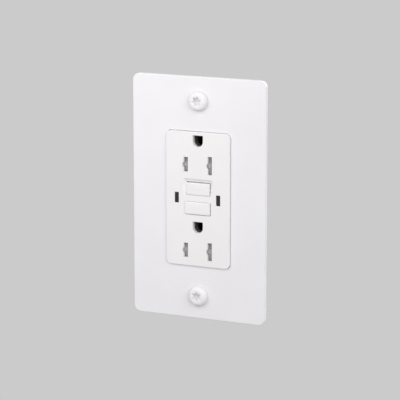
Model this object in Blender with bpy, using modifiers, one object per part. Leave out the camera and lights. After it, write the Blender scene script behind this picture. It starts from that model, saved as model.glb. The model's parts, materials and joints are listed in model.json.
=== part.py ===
"""Ground-fault outlet: two receptacles, test and reset buttons, and a flat screwed wall plate.

Metres. +X is to the right of a person who faces the wall, +Y runs into the wall and +Z is up.
The origin is on the wall surface, at the middle of the wall plate's back face.
"""

import math

import bmesh
import bpy
from mathutils import Matrix, Vector

OBJECT_NAME = "gfci_outlet"

# Clearances
GAP = 0.0003
HOLE_FIT = 0.0004

# Depths along Y, from the front to the back
PLATE_FRONT, PLATE_BACK = -0.0020, 0.0
FACE_FRONT, FACE_BACK = -0.0031, -0.0017
FLANGE_FRONT, FLANGE_BACK = 0.0006, 0.0021
STRAP_FRONT, STRAP_BACK = 0.0024, 0.0034
CARRIER_FRONT, CARRIER_BACK = 0.0037, 0.0120
HOUSING_FRONT, HOUSING_BACK = 0.0123, 0.0320

# Wall plate and its screws
PLATE_SIZE = (0.0700, 0.1200)
PLATE_CORNER = 0.0035
PLATE_EDGE = 0.0004
WINDOW_SIZE = (0.0338, 0.0668)
WINDOW_CORNER = 0.0026
PLATE_SCREW_Z = 0.0484
PLATE_HOLE_RADIUS = 0.0021
SCREW_HEAD_RADIUS = 0.00485
SCREW_HEAD_HEIGHT = 0.0028
SCREW_HEAD_ROUND = 0.0013
SCREW_SHANK_RADIUS = 0.00165
SCREW_SHANK_LENGTH = 0.0110
LOBE_INNER, LOBE_OUTER = 0.00155, 0.00235
LOBE_COUNT = 6
LOBE_DEPTH = 0.0020
LOBE_TURN = {"upper": 14.0, "lower": 30.0}

# Front cover
FACE_SIZE = (0.0332, 0.0662)
FACE_CORNER = 0.0023
FACE_EDGE = 0.0004
FACE_HOLLOW = (0.0304, 0.0642)
FLANGE_SIZE = (0.0400, 0.0684)

# Receptacle layout
GROUND_Z = {"upper": 0.0287, "lower": -0.0140}
SLOT_DROP = 0.0117
BLADE_X = 0.00635
SLOT_WIDTH = 0.0022
SLOT_HEIGHT = {"hot": 0.0072, "neutral": 0.0090}
NOTCH_CHORD, NOTCH_DEPTH, NOTCH_DROP = 0.0031, 0.00075, 0.00025
PIN_HOLE = (0.0053, 0.0056)
PIN_TUBE_WALL, PIN_TUBE_END = 0.00035, 0.0033
SIDE = {"hot": -1.0, "neutral": 1.0}
PLACES = ("upper", "lower")

# Buttons
TEST_Z, RESET_Z = 0.0051, -0.0044
TEST_SIZE = (0.0124, 0.0060)
RESET_SIZE = (0.0131, 0.0061)
BUTTON_CORNER = 0.0005
BUTTON_GAP = 0.00025
BUTTON_RIM = 0.0007
BUTTON_FLANGE = (-0.0014, -0.0004)
TEST_FRONT, RESET_FRONT = -0.0033, -0.0038
TEST_STEM_RADIUS, TEST_STEM_END = 0.0014, 0.0090
RESET_STEM_RADIUS, RESET_STEM_END = 0.0016, 0.0210
LATCH_COLLAR = (0.00195, 0.0012)
SCOOP_SIZE = (0.0157, 0.0096)
SCOOP_TOP, SCOOP_DEPTH = 0.0100, 0.0006
TEST_WELL_RADIUS, TEST_WELL_END = 0.0033, 0.0080
RESET_WELL_RADIUS, RESET_WELL_END = 0.0036, 0.0092

# Status lights
LIGHT_X, LIGHT_Z = 0.01095, 0.0003
LENS_SIZE = (0.0018, 0.0049)
LENS_GAP = 0.0002
LENS_RIM = 0.0005
LENS_FRONT, LENS_BACK = -0.0029, 0.0063
LIGHT_RADIUS, LIGHT_FRONT, LIGHT_BACK = 0.0015, 0.0066, 0.0110
LEAD_PITCH, LEAD_WIDTH = 0.00254, 0.0005

# Shutters: two wedges side by side that the blades push to the left, against one spring
SHUTTER_INNER, SHUTTER_OUTER = 0.0043, 0.0089
SHUTTER_LAND = 0.0011
SHUTTER_FRONT, SHUTTER_BACK = -0.0014, 0.0009
SHUTTER_TOE = 0.0001
SHUTTER_HALF_HEIGHT = 0.00465
SHUTTER_RIB_HALF, SHUTTER_STEP = 0.0012, 0.00045
TRAY_HALF_WIDTH = 0.0132
TRAY_LOW, TRAY_HIGH = -0.0055, 0.0060
TRAY_FLOOR = 0.0012
TRAY_RAIL = 0.0006
SHUTTER_LINK_Y, SHUTTER_LINK_Z = (0.0002, 0.0008), (0.0039, 0.0045)
SPRING_POST_X, SPRING_POST_HALF = (-0.0032, -0.0024), 0.0013
SHUTTER_SPRING = (0.0010, 0.00035, 6)
SHUTTER_SPRING_Y = -0.0002

# Mounting strap
BOX_SCREW_Z = 0.04167
STRAP_BODY_HALF, STRAP_NECK_HALF, STRAP_EAR_HALF = 0.0155, 0.0100, 0.0170
STRAP_BODY_Z, STRAP_NECK_Z, STRAP_END_Z = 0.0340, 0.0450, 0.0535
STRAP_SLOPE = 0.0008
STRAP_RAIL_INNER = 0.0125
STRAP_WINDOW_Z = (-0.0310, 0.0223)
TONGUE_HALF, TONGUE_HEAD_HALF = 0.0032, 0.0049
TONGUE_HEAD_Z = (-0.0182, -0.0096)
PIN_CLEARANCE = 0.0003
BOX_SLOT = (0.0070, 0.0042)
TAP_RADIUS = 0.0019
TAB_X, TAB_Z, TAB_END = (0.0075, 0.0155), (-0.0364, -0.0354), 0.0125
LUG_LOW = -0.0370
BOX_HEAD = (0.0036, 0.0017)
BOX_SHANK_RADIUS, BOX_SHANK_END = 0.0017, 0.0240
RETAINER_SIZE, RETAINER_THICK = 0.0090, 0.0008

# Ground contacts and ground screw
GROUND_BASE = (0.0072, 0.0072)
GROUND_BASE_THICK = 0.0007
GROUND_EYE, GROUND_EYE_LIFT = (0.0046, 0.0056), 0.0003
FINGER_GAP, FINGER_THICK = 0.0047, 0.0007
FINGER_HALF_HEIGHT, FINGER_END = 0.0024, 0.0125
GROUND_WINDOW = (0.0080, 0.0080)
GROUND_SCREW_X, GROUND_SCREW_Y = 0.0115, 0.0085
GROUND_SCREW_HEAD = (0.0040, 0.0024)
GROUND_SCREW_RADIUS, GROUND_SCREW_END = 0.0018, -0.0320

# Contact carrier and contact bars
CARRIER_SIZE = (0.0392, 0.0678)
LEAF_INNER, LEAF_OUTER = (0.00485, 0.0055), (0.0072, 0.00785)
LEAF_HALF_HEIGHT, LEAF_FRONT, LEAF_BACK = 0.0036, 0.0057, 0.0115
WEB_HEIGHT = 0.0008
BAR_FRONT = 0.0082
BLADE_WINDOW = (0.0026, 0.0094)
GRIP_POCKET = (0.0043, 0.0114)
POCKET_FRONT = 0.0053
TERMINAL_Z, TERMINAL_Y = 0.0170, 0.0200
TERMINAL_HALF_HEIGHT = 0.0055
TERMINAL_INNER, TERMINAL_OUTER = 0.0156, 0.0166
TERMINAL_BACK = 0.0264
TAB_FRONT, TAB_BACK = 0.0104, 0.0114
CONTACT_X, CONTACT_Z = 0.0092, 0.0053
CONTACT_RADIUS = 0.0016
CONTACT_FLANGE = (0.0107, 0.0020, 0.0112)
FIXED_CONTACT_END = 0.0122
LEAF_SPRING = (0.0109, 0.0113, 0.0036, 0.0103)
LEAF_SPRING_FOOT = (0.0132, 0.0097)
LEAF_SPRING_HALF = 0.0018

# Moving contacts, latch and solenoid
ARM_FRONT, ARM_BACK = 0.0146, 0.0151
ARM_INNER, ARM_OUTER, ARM_PAD = 0.0050, 0.0080, 0.0109
ARM_LOW, ARM_TAIL, ARM_SHOULDER, ARM_TOP = -0.0216, -0.0194, 0.0034, 0.0072
ARM_CONTACT_FRONT = 0.0139
ARM_LEG_X, ARM_LEG_HALF, ARM_LEG_END = (0.0010, 0.0022), 0.0006, 0.0266
CARRIAGE_HALF, CARRIAGE_Z, CARRIAGE_Y = 0.0044, (-0.0096, -0.0008), (0.0158, 0.0224)
CARRIAGE_BORE = 0.0023
WING_HALF, WING_Z, WING_Y = 0.0076, (-0.0066, -0.0036), (0.0154, 0.0166)
PLUNGER_Y = 0.0204
NOSE_RADIUS, NOSE_END = 0.0010, 0.0015
PLUNGER_RADIUS, PLUNGER_LOW, PLUNGER_TOP = 0.0022, 0.0140, 0.0310
PLUNGER_CAP = (0.0035, 0.0010)
YOKE_Z, YOKE_THICK, YOKE_HALF = (0.0078, 0.0240), 0.0010, 0.0055
YOKE_Y = (0.0152, 0.0272)
YOKE_BACK_THICK = 0.0008
WINDING_RADIUS, WINDING_BORE = 0.0055, 0.0026
WINDING_RIBS = 4
WINDING_GROOVE = 0.0004

# Circuit board and what is on it
BOARD_HALF, BOARD_Y = (0.0144, 0.0272), (0.0276, 0.0292)
CORE_Z, CORE_RADIUS, CORE_BORE = -0.0205, 0.0085, 0.0037
CORE_Y = (0.0172, 0.0268)
CORE_ROUND = 0.0012
VARISTOR_X, VARISTOR_CENTRE, VARISTOR_RADIUS = (0.0082, 0.0120), (0.0224, 0.0155), 0.0046
CAPACITOR_LOW, CAPACITOR_HIGH = (-0.0130, 0.0175, 0.0100), (-0.0076, 0.0272, 0.0210)
CHIP_LOW, CHIP_HIGH = (0.0095, 0.0258, -0.0082), (0.0143, 0.0273, -0.0022)

# Rear housing
HOUSING_SIZE = (0.0420, 0.0686)
HOUSING_CORNER, HOUSING_EDGE = 0.0020, 0.0008
HOUSING_WALL = 0.0016
COLUMN_X, COLUMN_Z, COLUMN_DRAFT = 0.0146, 0.0276, 0.0003
HOUSING_SCREW_X, HOUSING_SCREW_Z = 0.0175, 0.0305
HOUSING_SCREW_RADIUS, HOUSING_SCREW_END = 0.0012, 0.0012
HOUSING_HEAD_RADIUS, HOUSING_HEAD_FRONT, HOUSING_HEAD_BACK = 0.0023, 0.0291, 0.0313
HOUSING_HOLE_RADIUS = 0.0015
COVER_HOLE_END = 0.0009
BAY_HALF_HEIGHT, BAY_Y, BAY_INNER = 0.0062, (0.0138, 0.0268), 0.0172
WIRE_HOLE_X, WIRE_HOLE_STEP, WIRE_HOLE_RADIUS = 0.0177, 0.0029, 0.0013
POST_HALF, POST_AT = 0.0014, (0.0118, 0.0240)

# Terminal screws and wire clamps
CLAMP_SIZE = (0.0096, 0.0110)
CLAMP_INNER, CLAMP_OUTER = 0.0169, 0.0181
TERMINAL_HEAD = (0.0038, 0.0023)
TERMINAL_SHANK_RADIUS, TERMINAL_SHANK_END = 0.0018, 0.0139
DRIVE_SLOT = (0.0010, 0.0008)

# Springs: radius, wire and turns
TEST_SPRING = (0.0026, 0.00045, 4)
RESET_SPRING = (0.0028, 0.0005, 5)
PLUNGER_SPRING = (0.0031, 0.0004, 4)

# Facets
ROUND_STEPS = 24
SMALL_STEPS = 16
SCREW_STEPS = 12
CORNER_STEPS = 5
COIL_STEPS = 8
SMOOTH_ANGLE = math.radians(35.0)

# Colour, roughness and metallic value of each finish
FINISHES = {
    "white_paint": ((0.86, 0.85, 0.87), 0.45, 0.0),
    "white_plastic": ((0.85, 0.84, 0.84), 0.35, 0.0),
    "shutter_plastic": ((0.72, 0.72, 0.73), 0.45, 0.0),
    "smoked_plastic": ((0.06, 0.06, 0.065), 0.20, 0.0),
    "zinc_steel": ((0.62, 0.62, 0.60), 0.35, 1.0),
    "spring_steel": ((0.55, 0.55, 0.56), 0.30, 1.0),
    "brass": ((0.78, 0.60, 0.28), 0.30, 1.0),
    "nickel": ((0.72, 0.70, 0.66), 0.28, 1.0),
    "green_steel": ((0.08, 0.35, 0.14), 0.40, 0.6),
    "grey_plastic": ((0.38, 0.39, 0.41), 0.50, 0.0),
    "dark_plastic": ((0.05, 0.05, 0.055), 0.50, 0.0),
    "fibre": ((0.55, 0.42, 0.26), 0.80, 0.0),
    "board_green": ((0.05, 0.24, 0.10), 0.45, 0.0),
    "copper_wire": ((0.62, 0.28, 0.12), 0.35, 1.0),
    "varistor_blue": ((0.06, 0.16, 0.42), 0.40, 0.0),
    "capacitor_ochre": ((0.58, 0.36, 0.08), 0.45, 0.0),
    "clear_lamp": ((0.70, 0.78, 0.70), 0.15, 0.0),
}

# An outline's two directions and its extrusion direction, as the columns of a turn
TURNS = {
    "X": Matrix(((0, 0, 1), (1, 0, 0), (0, 1, 0))),
    "Y": Matrix(((1, 0, 0), (0, 0, -1), (0, 1, 0))),
    "Z": Matrix.Identity(3),
}
AXIS_INDEX = {"X": 0, "Y": 1, "Z": 2}


def slot_z(place):
    """Height of a receptacle's blade slots."""
    return GROUND_Z[place] - SLOT_DROP


# Scene, materials and objects


def clear_scene():
    for obj in list(bpy.data.objects):
        bpy.data.objects.remove(obj)


def new_collection(name, hidden=False):
    collection = bpy.data.collections.new(name)
    collection.hide_render = hidden
    bpy.context.scene.collection.children.link(collection)
    return collection


def finish(name):
    """The named material, made the first time it is asked for."""
    if name in bpy.data.materials:
        return bpy.data.materials[name]
    colour, roughness, metallic = FINISHES[name]
    made = bpy.data.materials.new(name)
    made.use_nodes = True
    shader = made.node_tree.nodes["Principled BSDF"]
    shader.inputs["Base Color"].default_value = (*colour, 1.0)
    shader.inputs["Roughness"].default_value = roughness
    shader.inputs["Metallic"].default_value = metallic
    return made


def add_object(name, data):
    obj = bpy.data.objects.new(name, data)
    PARTS.objects.link(obj)
    return obj


def as_tool(obj):
    """Turns an object into a hidden cutter or a shape that another object takes in."""
    PARTS.objects.unlink(obj)
    TOOLS.objects.link(obj)
    obj.hide_render = True
    obj.display_type = "WIRE"
    return obj


def combine(part, tool, operation):
    as_tool(tool)
    modifier = part.modifiers.new(f"{operation.lower()} {tool.name}", "BOOLEAN")
    modifier.operation = operation
    modifier.solver = "EXACT"
    modifier.object = tool
    return part


def cut(part, *tools):
    for tool in tools:
        combine(part, tool, "DIFFERENCE")
    return part


def join(part, *tools):
    for tool in tools:
        combine(part, tool, "UNION")
    return part


def soften(part, width, segments=1):
    """Rounds the sharp edges of a part, before anything is cut from it."""
    modifier = part.modifiers.new("Soft edges", "BEVEL")
    modifier.width = width
    modifier.segments = segments
    modifier.limit_method = "ANGLE"
    modifier.angle_limit = math.radians(50.0)
    return part


def complete(part, finish_name, origin=(0.0, 0.0, 0.0)):
    """Gives a part its material and moves its origin to a point of the world."""
    shift = Vector(origin) - part.location
    if part.type == "MESH":
        part.data.transform(part.matrix_basis.to_3x3().to_4x4())
        part.rotation_euler = (0.0, 0.0, 0.0)
        part.data.transform(Matrix.Translation(-shift))
        part.location = origin
        part.data.shade_smooth()
        part.data.set_sharp_from_angle(angle=SMOOTH_ANGLE)
    part.data.materials.append(finish(finish_name))
    return part


# Outlines, as lists of points


def arc(centre, radius, start, end, steps):
    """Points along a circular arc between two angles in degrees, both ends included."""
    points = []
    for i in range(steps + 1):
        angle = math.radians(start + (end - start) * i / steps)
        points.append((centre[0] + radius * math.cos(angle), centre[1] + radius * math.sin(angle)))
    return points


def circle(centre, radius, steps=SMALL_STEPS):
    return arc(centre, radius, 0.0, 360.0 * (steps - 1) / steps, steps - 1)


def rectangle(centre, size, radius=0.0):
    """A rectangle round a centre, with rounded corners where a radius is given."""
    across, up = size[0] / 2 - radius, size[1] / 2 - radius
    points = []
    for i, (sx, sy) in enumerate(((1, 1), (-1, 1), (-1, -1), (1, -1))):
        corner = (centre[0] + sx * across, centre[1] + sy * up)
        if radius:
            points += arc(corner, radius, 90.0 * i, 90.0 * (i + 1), CORNER_STEPS)
        else:
            points.append(corner)
    return points


def round_ended(centre, size):
    """A slot across, with half-round ends."""
    radius = size[1] / 2
    reach = size[0] / 2 - radius
    right = arc((centre[0] + reach, centre[1]), radius, -90.0, 90.0, SMALL_STEPS // 2)
    left = arc((centre[0] - reach, centre[1]), radius, 90.0, 270.0, SMALL_STEPS // 2)
    return right + left


def pin_hole(centre, grown=0.0):
    """A ground-pin hole: flat at the top and round at the bottom, grown all round by a distance."""
    half = PIN_HOLE[0] / 2 + grown
    top = centre[1] + PIN_HOLE[1] / 2 + grown
    middle = centre[1] + (PIN_HOLE[0] - PIN_HOLE[1]) / 2
    return [(centre[0] + half, top), (centre[0] - half, top)] + arc(
        (centre[0], middle), half, 180.0, 360.0, SMALL_STEPS // 2
    )


def blade_slot(centre, height):
    """A blade slot with a shallow round notch near the middle of its left edge."""
    left, right = centre[0] - SLOT_WIDTH / 2, centre[0] + SLOT_WIDTH / 2
    low, high = centre[1] - height / 2, centre[1] + height / 2
    radius = (NOTCH_CHORD**2 / 4 + NOTCH_DEPTH**2) / (2 * NOTCH_DEPTH)
    swing = math.degrees(math.asin(NOTCH_CHORD / 2 / radius))
    notch_centre = (left - NOTCH_DEPTH + radius, centre[1] - NOTCH_DROP)
    notch = arc(notch_centre, radius, 180.0 - swing, 180.0 + swing, 6)
    return [(right, low), (right, high), (left, high), *notch, (left, low)]


def lobed(centre, turn):
    """The six-lobe outline of a screw's drive recess."""
    middle, swing = (LOBE_OUTER + LOBE_INNER) / 2, (LOBE_OUTER - LOBE_INNER) / 2
    points = []
    steps = LOBE_COUNT * 6
    for i in range(steps):
        angle = 2 * math.pi * i / steps
        radius = middle + swing * math.cos(LOBE_COUNT * angle)
        angle += math.radians(turn)
        points.append((centre[0] + radius * math.cos(angle), centre[1] + radius * math.sin(angle)))
    return points


def mirrored(points, side):
    """Outline points with their first coordinate on the given side of the middle."""
    return [(side * p[0], p[1]) for p in points]


# Solids


def box(name, low, high):
    mesh = bpy.data.meshes.new(name)
    shape = bmesh.new()
    bmesh.ops.create_cube(shape, size=1.0)
    size = [abs(b - a) for a, b in zip(low, high)]
    bmesh.ops.scale(shape, vec=size, verts=shape.verts)
    shape.to_mesh(mesh)
    shape.free()
    obj = add_object(name, mesh)
    obj.location = [(a + b) / 2 for a, b in zip(low, high)]
    return obj


def side_box(name, side, x, y, z):
    """A box from ranges, with its X range on the given side of the middle."""
    across = sorted((side * x[0], side * x[1]))
    return box(name, (across[0], y[0], z[0]), (across[1], y[1], z[1]))


def rod(name, axis, centre, radius, low, high, steps=SMALL_STEPS):
    """A cylinder along an axis; centre holds its other two coordinates, in X, Y, Z order."""
    mesh = bpy.data.meshes.new(name)
    shape = bmesh.new()
    bmesh.ops.create_cone(
        shape,
        cap_ends=True,
        segments=steps,
        radius1=radius,
        radius2=radius,
        depth=abs(high - low),
    )
    bmesh.ops.rotate(shape, matrix=TURNS[axis], verts=shape.verts)
    shape.to_mesh(mesh)
    shape.free()
    obj = add_object(name, mesh)
    place = list(centre)
    place.insert(AXIS_INDEX[axis], (low + high) / 2)
    obj.location = place
    return obj


def sheet(name, axis, loops, low, high):
    """A flat piece: closed outlines (later ones are holes) given a thickness along an axis."""
    curve = bpy.data.curves.new(name, "CURVE")
    curve.dimensions = "2D"
    curve.fill_mode = "BOTH"
    curve.extrude = abs(high - low) / 2
    for loop in loops:
        spline = curve.splines.new("POLY")
        spline.points.add(len(loop) - 1)
        for point, (u, v) in zip(spline.points, loop):
            point.co = (u, v, 0.0, 1.0)
        spline.use_cyclic_u = True
    guide = add_object(name + "_outline", curve)
    middle = [0.0, 0.0, 0.0]
    middle[AXIS_INDEX[axis]] = (low + high) / 2
    guide.matrix_world = Matrix.Translation(middle) @ TURNS[axis].to_4x4()
    graph = bpy.context.evaluated_depsgraph_get()
    mesh = bpy.data.meshes.new_from_object(guide.evaluated_get(graph))
    mesh.name = name
    shape = bmesh.new()
    shape.from_mesh(mesh)
    bmesh.ops.remove_doubles(shape, verts=shape.verts, dist=1e-6)
    bmesh.ops.recalc_face_normals(shape, faces=shape.faces)
    shape.to_mesh(mesh)
    shape.free()
    obj = add_object(name, mesh)
    obj.matrix_world = guide.matrix_world
    bpy.data.objects.remove(guide)
    return obj


def turned(name, profile, base, direction, steps=ROUND_STEPS):
    """A turned piece: (radius, height) pairs from its top down its outer side, about a direction."""
    mesh = bpy.data.meshes.new(name)
    points = [(radius, 0.0, height) for radius, height in profile]
    edges = [(i, i + 1) for i in range(len(points) - 1)]
    mesh.from_pydata(points, edges, [])
    guide = add_object(name + "_profile", mesh)
    spin = guide.modifiers.new("Turn", "SCREW")
    spin.steps = steps
    spin.render_steps = steps
    spin.use_merge_vertices = True
    spin.merge_threshold = 1e-6
    turn = Vector((0.0, 0.0, 1.0)).rotation_difference(Vector(direction))
    guide.matrix_world = Matrix.Translation(base) @ turn.to_matrix().to_4x4()
    graph = bpy.context.evaluated_depsgraph_get()
    solid = bpy.data.meshes.new_from_object(guide.evaluated_get(graph))
    solid.name = name
    obj = add_object(name, solid)
    obj.matrix_world = guide.matrix_world
    bpy.data.objects.remove(guide)
    return obj


def coil(name, start, end, spring, finish_name):
    """A helical spring between two points, from its mean radius, wire thickness and turns."""
    radius, wire, turns = spring
    run = Vector(end) - Vector(start)
    turn = Vector((0.0, 0.0, 1.0)).rotation_difference(run)
    free = run.length - wire
    curve = bpy.data.curves.new(name, "CURVE")
    curve.dimensions = "3D"
    curve.bevel_depth = wire / 2
    curve.bevel_resolution = 0
    curve.use_fill_caps = True
    spline = curve.splines.new("POLY")
    count = turns * COIL_STEPS + 1
    spline.points.add(count - 1)
    for i, point in enumerate(spline.points):
        share = i / (count - 1)
        angle = 2 * math.pi * turns * share
        at = Vector((radius * math.cos(angle), radius * math.sin(angle), wire / 2 + free * share))
        point.co = (*(turn @ at), 1.0)
    obj = add_object(name, curve)
    obj.location = start
    return complete(obj, finish_name)


def head_profile(head_radius, head_height, rounding, shank_radius, shank_length):
    """A screw with a round-edged head, from the middle of its head down to its tip."""
    profile = [(0.0, head_height), (head_radius - rounding, head_height)]
    edge = arc((head_radius - rounding, head_height - rounding), rounding, 90.0, 0.0, 4)
    profile += edge[1:]
    profile += [(head_radius, 0.0), (shank_radius, 0.0)]
    tip = shank_radius * 0.4
    profile += [(shank_radius, tip - shank_length), (shank_radius - tip, -shank_length)]
    profile += [(0.0, -shank_length)]
    return profile


def slotted_screw(name, head, shank_radius, shank_length, base, direction, slot_along):
    """A screw with a straight drive slot across its head."""
    rounding = head[1] * 0.4
    profile = head_profile(head[0], head[1], rounding, shank_radius, shank_length)
    screw = turned(name, profile, base, direction, SCREW_STEPS)
    width, depth = DRIVE_SLOT
    top = Vector(base) + Vector(direction) * head[1]
    reach = Vector(slot_along) * head[0] * 1.2
    third = Vector(direction).cross(Vector(slot_along)) * width / 2
    inward = Vector(direction) * depth
    a = top - reach - third - inward
    b = top + reach + third + inward
    low = [min(p, q) for p, q in zip(a, b)]
    high = [max(p, q) for p, q in zip(a, b)]
    return cut(screw, box(name + "_slot", low, high))


# Front pieces


def wall_plate():
    loops = [rectangle((0.0, 0.0), PLATE_SIZE, PLATE_CORNER)]
    loops.append(rectangle((0.0, 0.0), WINDOW_SIZE, WINDOW_CORNER))
    for sign in (1.0, -1.0):
        loops.append(circle((0.0, sign * PLATE_SCREW_Z), PLATE_HOLE_RADIUS))
    plate = sheet("wall_plate", "Y", loops, PLATE_FRONT, PLATE_BACK)
    soften(plate, PLATE_EDGE)
    complete(plate, "white_paint")


def plate_screws():
    for place, sign in zip(PLACES, (1.0, -1.0)):
        name = f"plate_screw_{place}"
        base = (0.0, PLATE_FRONT - GAP / 2, sign * PLATE_SCREW_Z)
        profile = head_profile(
            SCREW_HEAD_RADIUS,
            SCREW_HEAD_HEIGHT,
            SCREW_HEAD_ROUND,
            SCREW_SHANK_RADIUS,
            SCREW_SHANK_LENGTH,
        )
        screw = turned(name, profile, base, (0.0, -1.0, 0.0))
        top = base[1] - SCREW_HEAD_HEIGHT
        drive = lobed((0.0, base[2]), LOBE_TURN[place])
        cut(screw, sheet(name + "_drive", "Y", [drive], top - LOBE_DEPTH, top + LOBE_DEPTH))
        complete(screw, "white_paint", base)


def face_openings():
    """Outlines of everything that goes through the cover's face, except the ground-pin holes."""
    loops = []
    for place in PLACES:
        for pole, side in SIDE.items():
            loops.append(blade_slot((side * BLADE_X, slot_z(place)), SLOT_HEIGHT[pole]))
    for height, size in ((TEST_Z, TEST_SIZE), (RESET_Z, RESET_SIZE)):
        opening = [s + 2 * BUTTON_GAP for s in size]
        loops.append(rectangle((0.0, height), opening, BUTTON_CORNER + BUTTON_GAP))
    for side in (-1.0, 1.0):
        window = [s + 2 * LENS_GAP for s in LENS_SIZE]
        loops.append(rectangle((side * LIGHT_X, LIGHT_Z), window))
    return loops


def corner_holes(name, radius, front, back):
    """Four cutters for the housing screws, as outlines of one sheet."""
    loops = []
    for x in (-HOUSING_SCREW_X, HOUSING_SCREW_X):
        for z in (-HOUSING_SCREW_Z, HOUSING_SCREW_Z):
            loops.append(circle((x, z), radius, SMALL_STEPS))
    return sheet(name, "Y", loops, front, back)


def front_cover():
    outline = rectangle((0.0, 0.0), FACE_SIZE, FACE_CORNER)
    cover = sheet("front_cover", "Y", [outline], FACE_FRONT, FLANGE_FRONT + 3 * GAP)
    soften(cover, FACE_EDGE)
    flange_outline = rectangle((0.0, 0.0), FLANGE_SIZE, FACE_CORNER)
    join(cover, sheet("cover_flange", "Y", [flange_outline], FLANGE_FRONT, FLANGE_BACK))
    past_back = FLANGE_BACK + 0.001
    past_front = FACE_FRONT - 0.001
    hollow = rectangle((0.0, 0.0), FACE_HOLLOW, FACE_CORNER / 2)
    cut(cover, sheet("cover_hollow", "Y", [hollow], FACE_BACK, past_back))
    holes = [pin_hole((0.0, height)) for height in GROUND_Z.values()]
    tubes = [pin_hole((0.0, height), PIN_TUBE_WALL) for height in GROUND_Z.values()]
    join(cover, sheet("pin_tubes", "Y", tubes, FACE_BACK - GAP, PIN_TUBE_END))
    cut(cover, sheet("pin_holes", "Y", holes, past_front, PIN_TUBE_END + 0.001))
    cut(cover, sheet("cover_openings", "Y", face_openings(), past_front, FACE_BACK + 0.001))
    cut(cover, corner_holes("cover_screw_holes", HOUSING_HOLE_RADIUS, COVER_HOLE_END, past_back))
    slope = [
        (FACE_FRONT - 0.001, SCOOP_TOP),
        (FACE_FRONT + SCOOP_DEPTH, SCOOP_TOP),
        (FACE_FRONT - 0.0001, SCOOP_TOP - SCOOP_SIZE[1]),
        (FACE_FRONT - 0.001, SCOOP_TOP - SCOOP_SIZE[1]),
    ]
    cut(cover, sheet("cover_scoop", "X", [slope], -SCOOP_SIZE[0] / 2, SCOOP_SIZE[0] / 2))
    complete(cover, "white_plastic")


def button(name, height, size, front, stem_radius, stem_end):
    """A push button: cap, retaining flange behind the face, and a stem."""
    cap = rectangle((0.0, height), size, BUTTON_CORNER)
    overlap = GAP
    key = sheet(name, "Y", [cap], front, BUTTON_FLANGE[0] + overlap)
    soften(key, BUTTON_GAP)
    rim = [s + 2 * BUTTON_RIM for s in size]
    join(key, sheet(name + "_flange", "Y", [rectangle((0.0, height), rim)], *BUTTON_FLANGE))
    stem_start = BUTTON_FLANGE[1] - overlap
    join(key, rod(name + "_stem", "Y", (0.0, height), stem_radius, stem_start, stem_end))
    return key


def buttons():
    test = button(
        "test_button", TEST_Z, TEST_SIZE, TEST_FRONT, TEST_STEM_RADIUS, TEST_STEM_END
    )
    complete(test, "white_plastic", (0.0, TEST_FRONT, TEST_Z))
    reset = button(
        "reset_button", RESET_Z, RESET_SIZE, RESET_FRONT, RESET_STEM_RADIUS, RESET_STEM_END
    )
    radius, length = LATCH_COLLAR
    collar_low = RESET_STEM_END - length
    collar_high = RESET_STEM_END + GAP
    join(reset, rod("latch_collar", "Y", (0.0, RESET_Z), radius, collar_low, collar_high))
    complete(reset, "white_plastic", (0.0, RESET_FRONT, RESET_Z))
    behind = BUTTON_FLANGE[1] + GAP
    coil(
        "test_spring",
        (0.0, behind, TEST_Z),
        (0.0, TEST_WELL_END - GAP, TEST_Z),
        TEST_SPRING,
        "spring_steel",
    )
    coil(
        "reset_spring",
        (0.0, behind, RESET_Z),
        (0.0, RESET_WELL_END - GAP, RESET_Z),
        RESET_SPRING,
        "spring_steel",
    )


def status_lights():
    for label, side in (("left", -1.0), ("right", 1.0)):
        x = side * LIGHT_X
        name = f"status_lens_{label}"
        pipe = sheet(name, "Y", [rectangle((x, LIGHT_Z), LENS_SIZE)], LENS_FRONT, LENS_BACK)
        rim = [s + 2 * LENS_RIM for s in LENS_SIZE]
        join(pipe, sheet(name + "_rim", "Y", [rectangle((x, LIGHT_Z), rim)], *BUTTON_FLANGE))
        complete(pipe, "smoked_plastic", (x, LENS_FRONT, LIGHT_Z))
        name = f"indicator_led_{label}"
        height = LIGHT_BACK - LIGHT_FRONT
        dome = arc((0.0, height - LIGHT_RADIUS), LIGHT_RADIUS, 90.0, 0.0, 4)
        profile = dome + [(LIGHT_RADIUS, 0.0), (0.0, 0.0)]
        lamp = turned(name, profile, (x, LIGHT_BACK, LIGHT_Z), (0.0, -1.0, 0.0), SMALL_STEPS)
        half = LEAD_WIDTH / 2
        for lead, offset in (("a", -LEAD_PITCH / 2), ("b", LEAD_PITCH / 2)):
            middle = x + offset * 0.8
            low = (middle - half, LIGHT_BACK - GAP, LIGHT_Z - half)
            high = (middle + half, BOARD_Y[0] - GAP, LIGHT_Z + half)
            join(lamp, box(f"{name}_lead_{lead}", low, high))
        complete(lamp, "clear_lamp", (x, LIGHT_BACK, LIGHT_Z))


# Shutters


def shutters():
    slope = [
        (SHUTTER_INNER, SHUTTER_FRONT),
        (SHUTTER_INNER + SHUTTER_LAND, SHUTTER_FRONT),
        (SHUTTER_OUTER, SHUTTER_TOE),
        (SHUTTER_OUTER, SHUTTER_BACK),
        (SHUTTER_INNER, SHUTTER_BACK),
    ]
    for place in PLACES:
        middle = slot_z(place)
        low, high = middle - SHUTTER_HALF_HEIGHT, middle + SHUTTER_HALF_HEIGHT
        for pole, side in SIDE.items():
            name = f"{place}_{pole}_shutter"
            shift = (side - SIDE["neutral"]) * BLADE_X
            wedge = sheet(name, "Z", [[(x + shift, y) for x, y in slope]], low, high)
            cut(wedge, *shutter_steps(name, shift, middle))
            if pole == "hot":
                join(wedge, *shutter_links(name, SHUTTER_OUTER + shift, middle))
            complete(wedge, "shutter_plastic", (side * BLADE_X, SHUTTER_BACK, middle))
        coil(
            f"{place}_shutter_spring",
            (SPRING_POST_X[1] + GAP, SHUTTER_SPRING_Y, middle),
            (SHUTTER_INNER - GAP, SHUTTER_SPRING_Y, middle),
            SHUTTER_SPRING,
            "spring_steel",
        )
        shutter_tray(place, middle)


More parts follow.
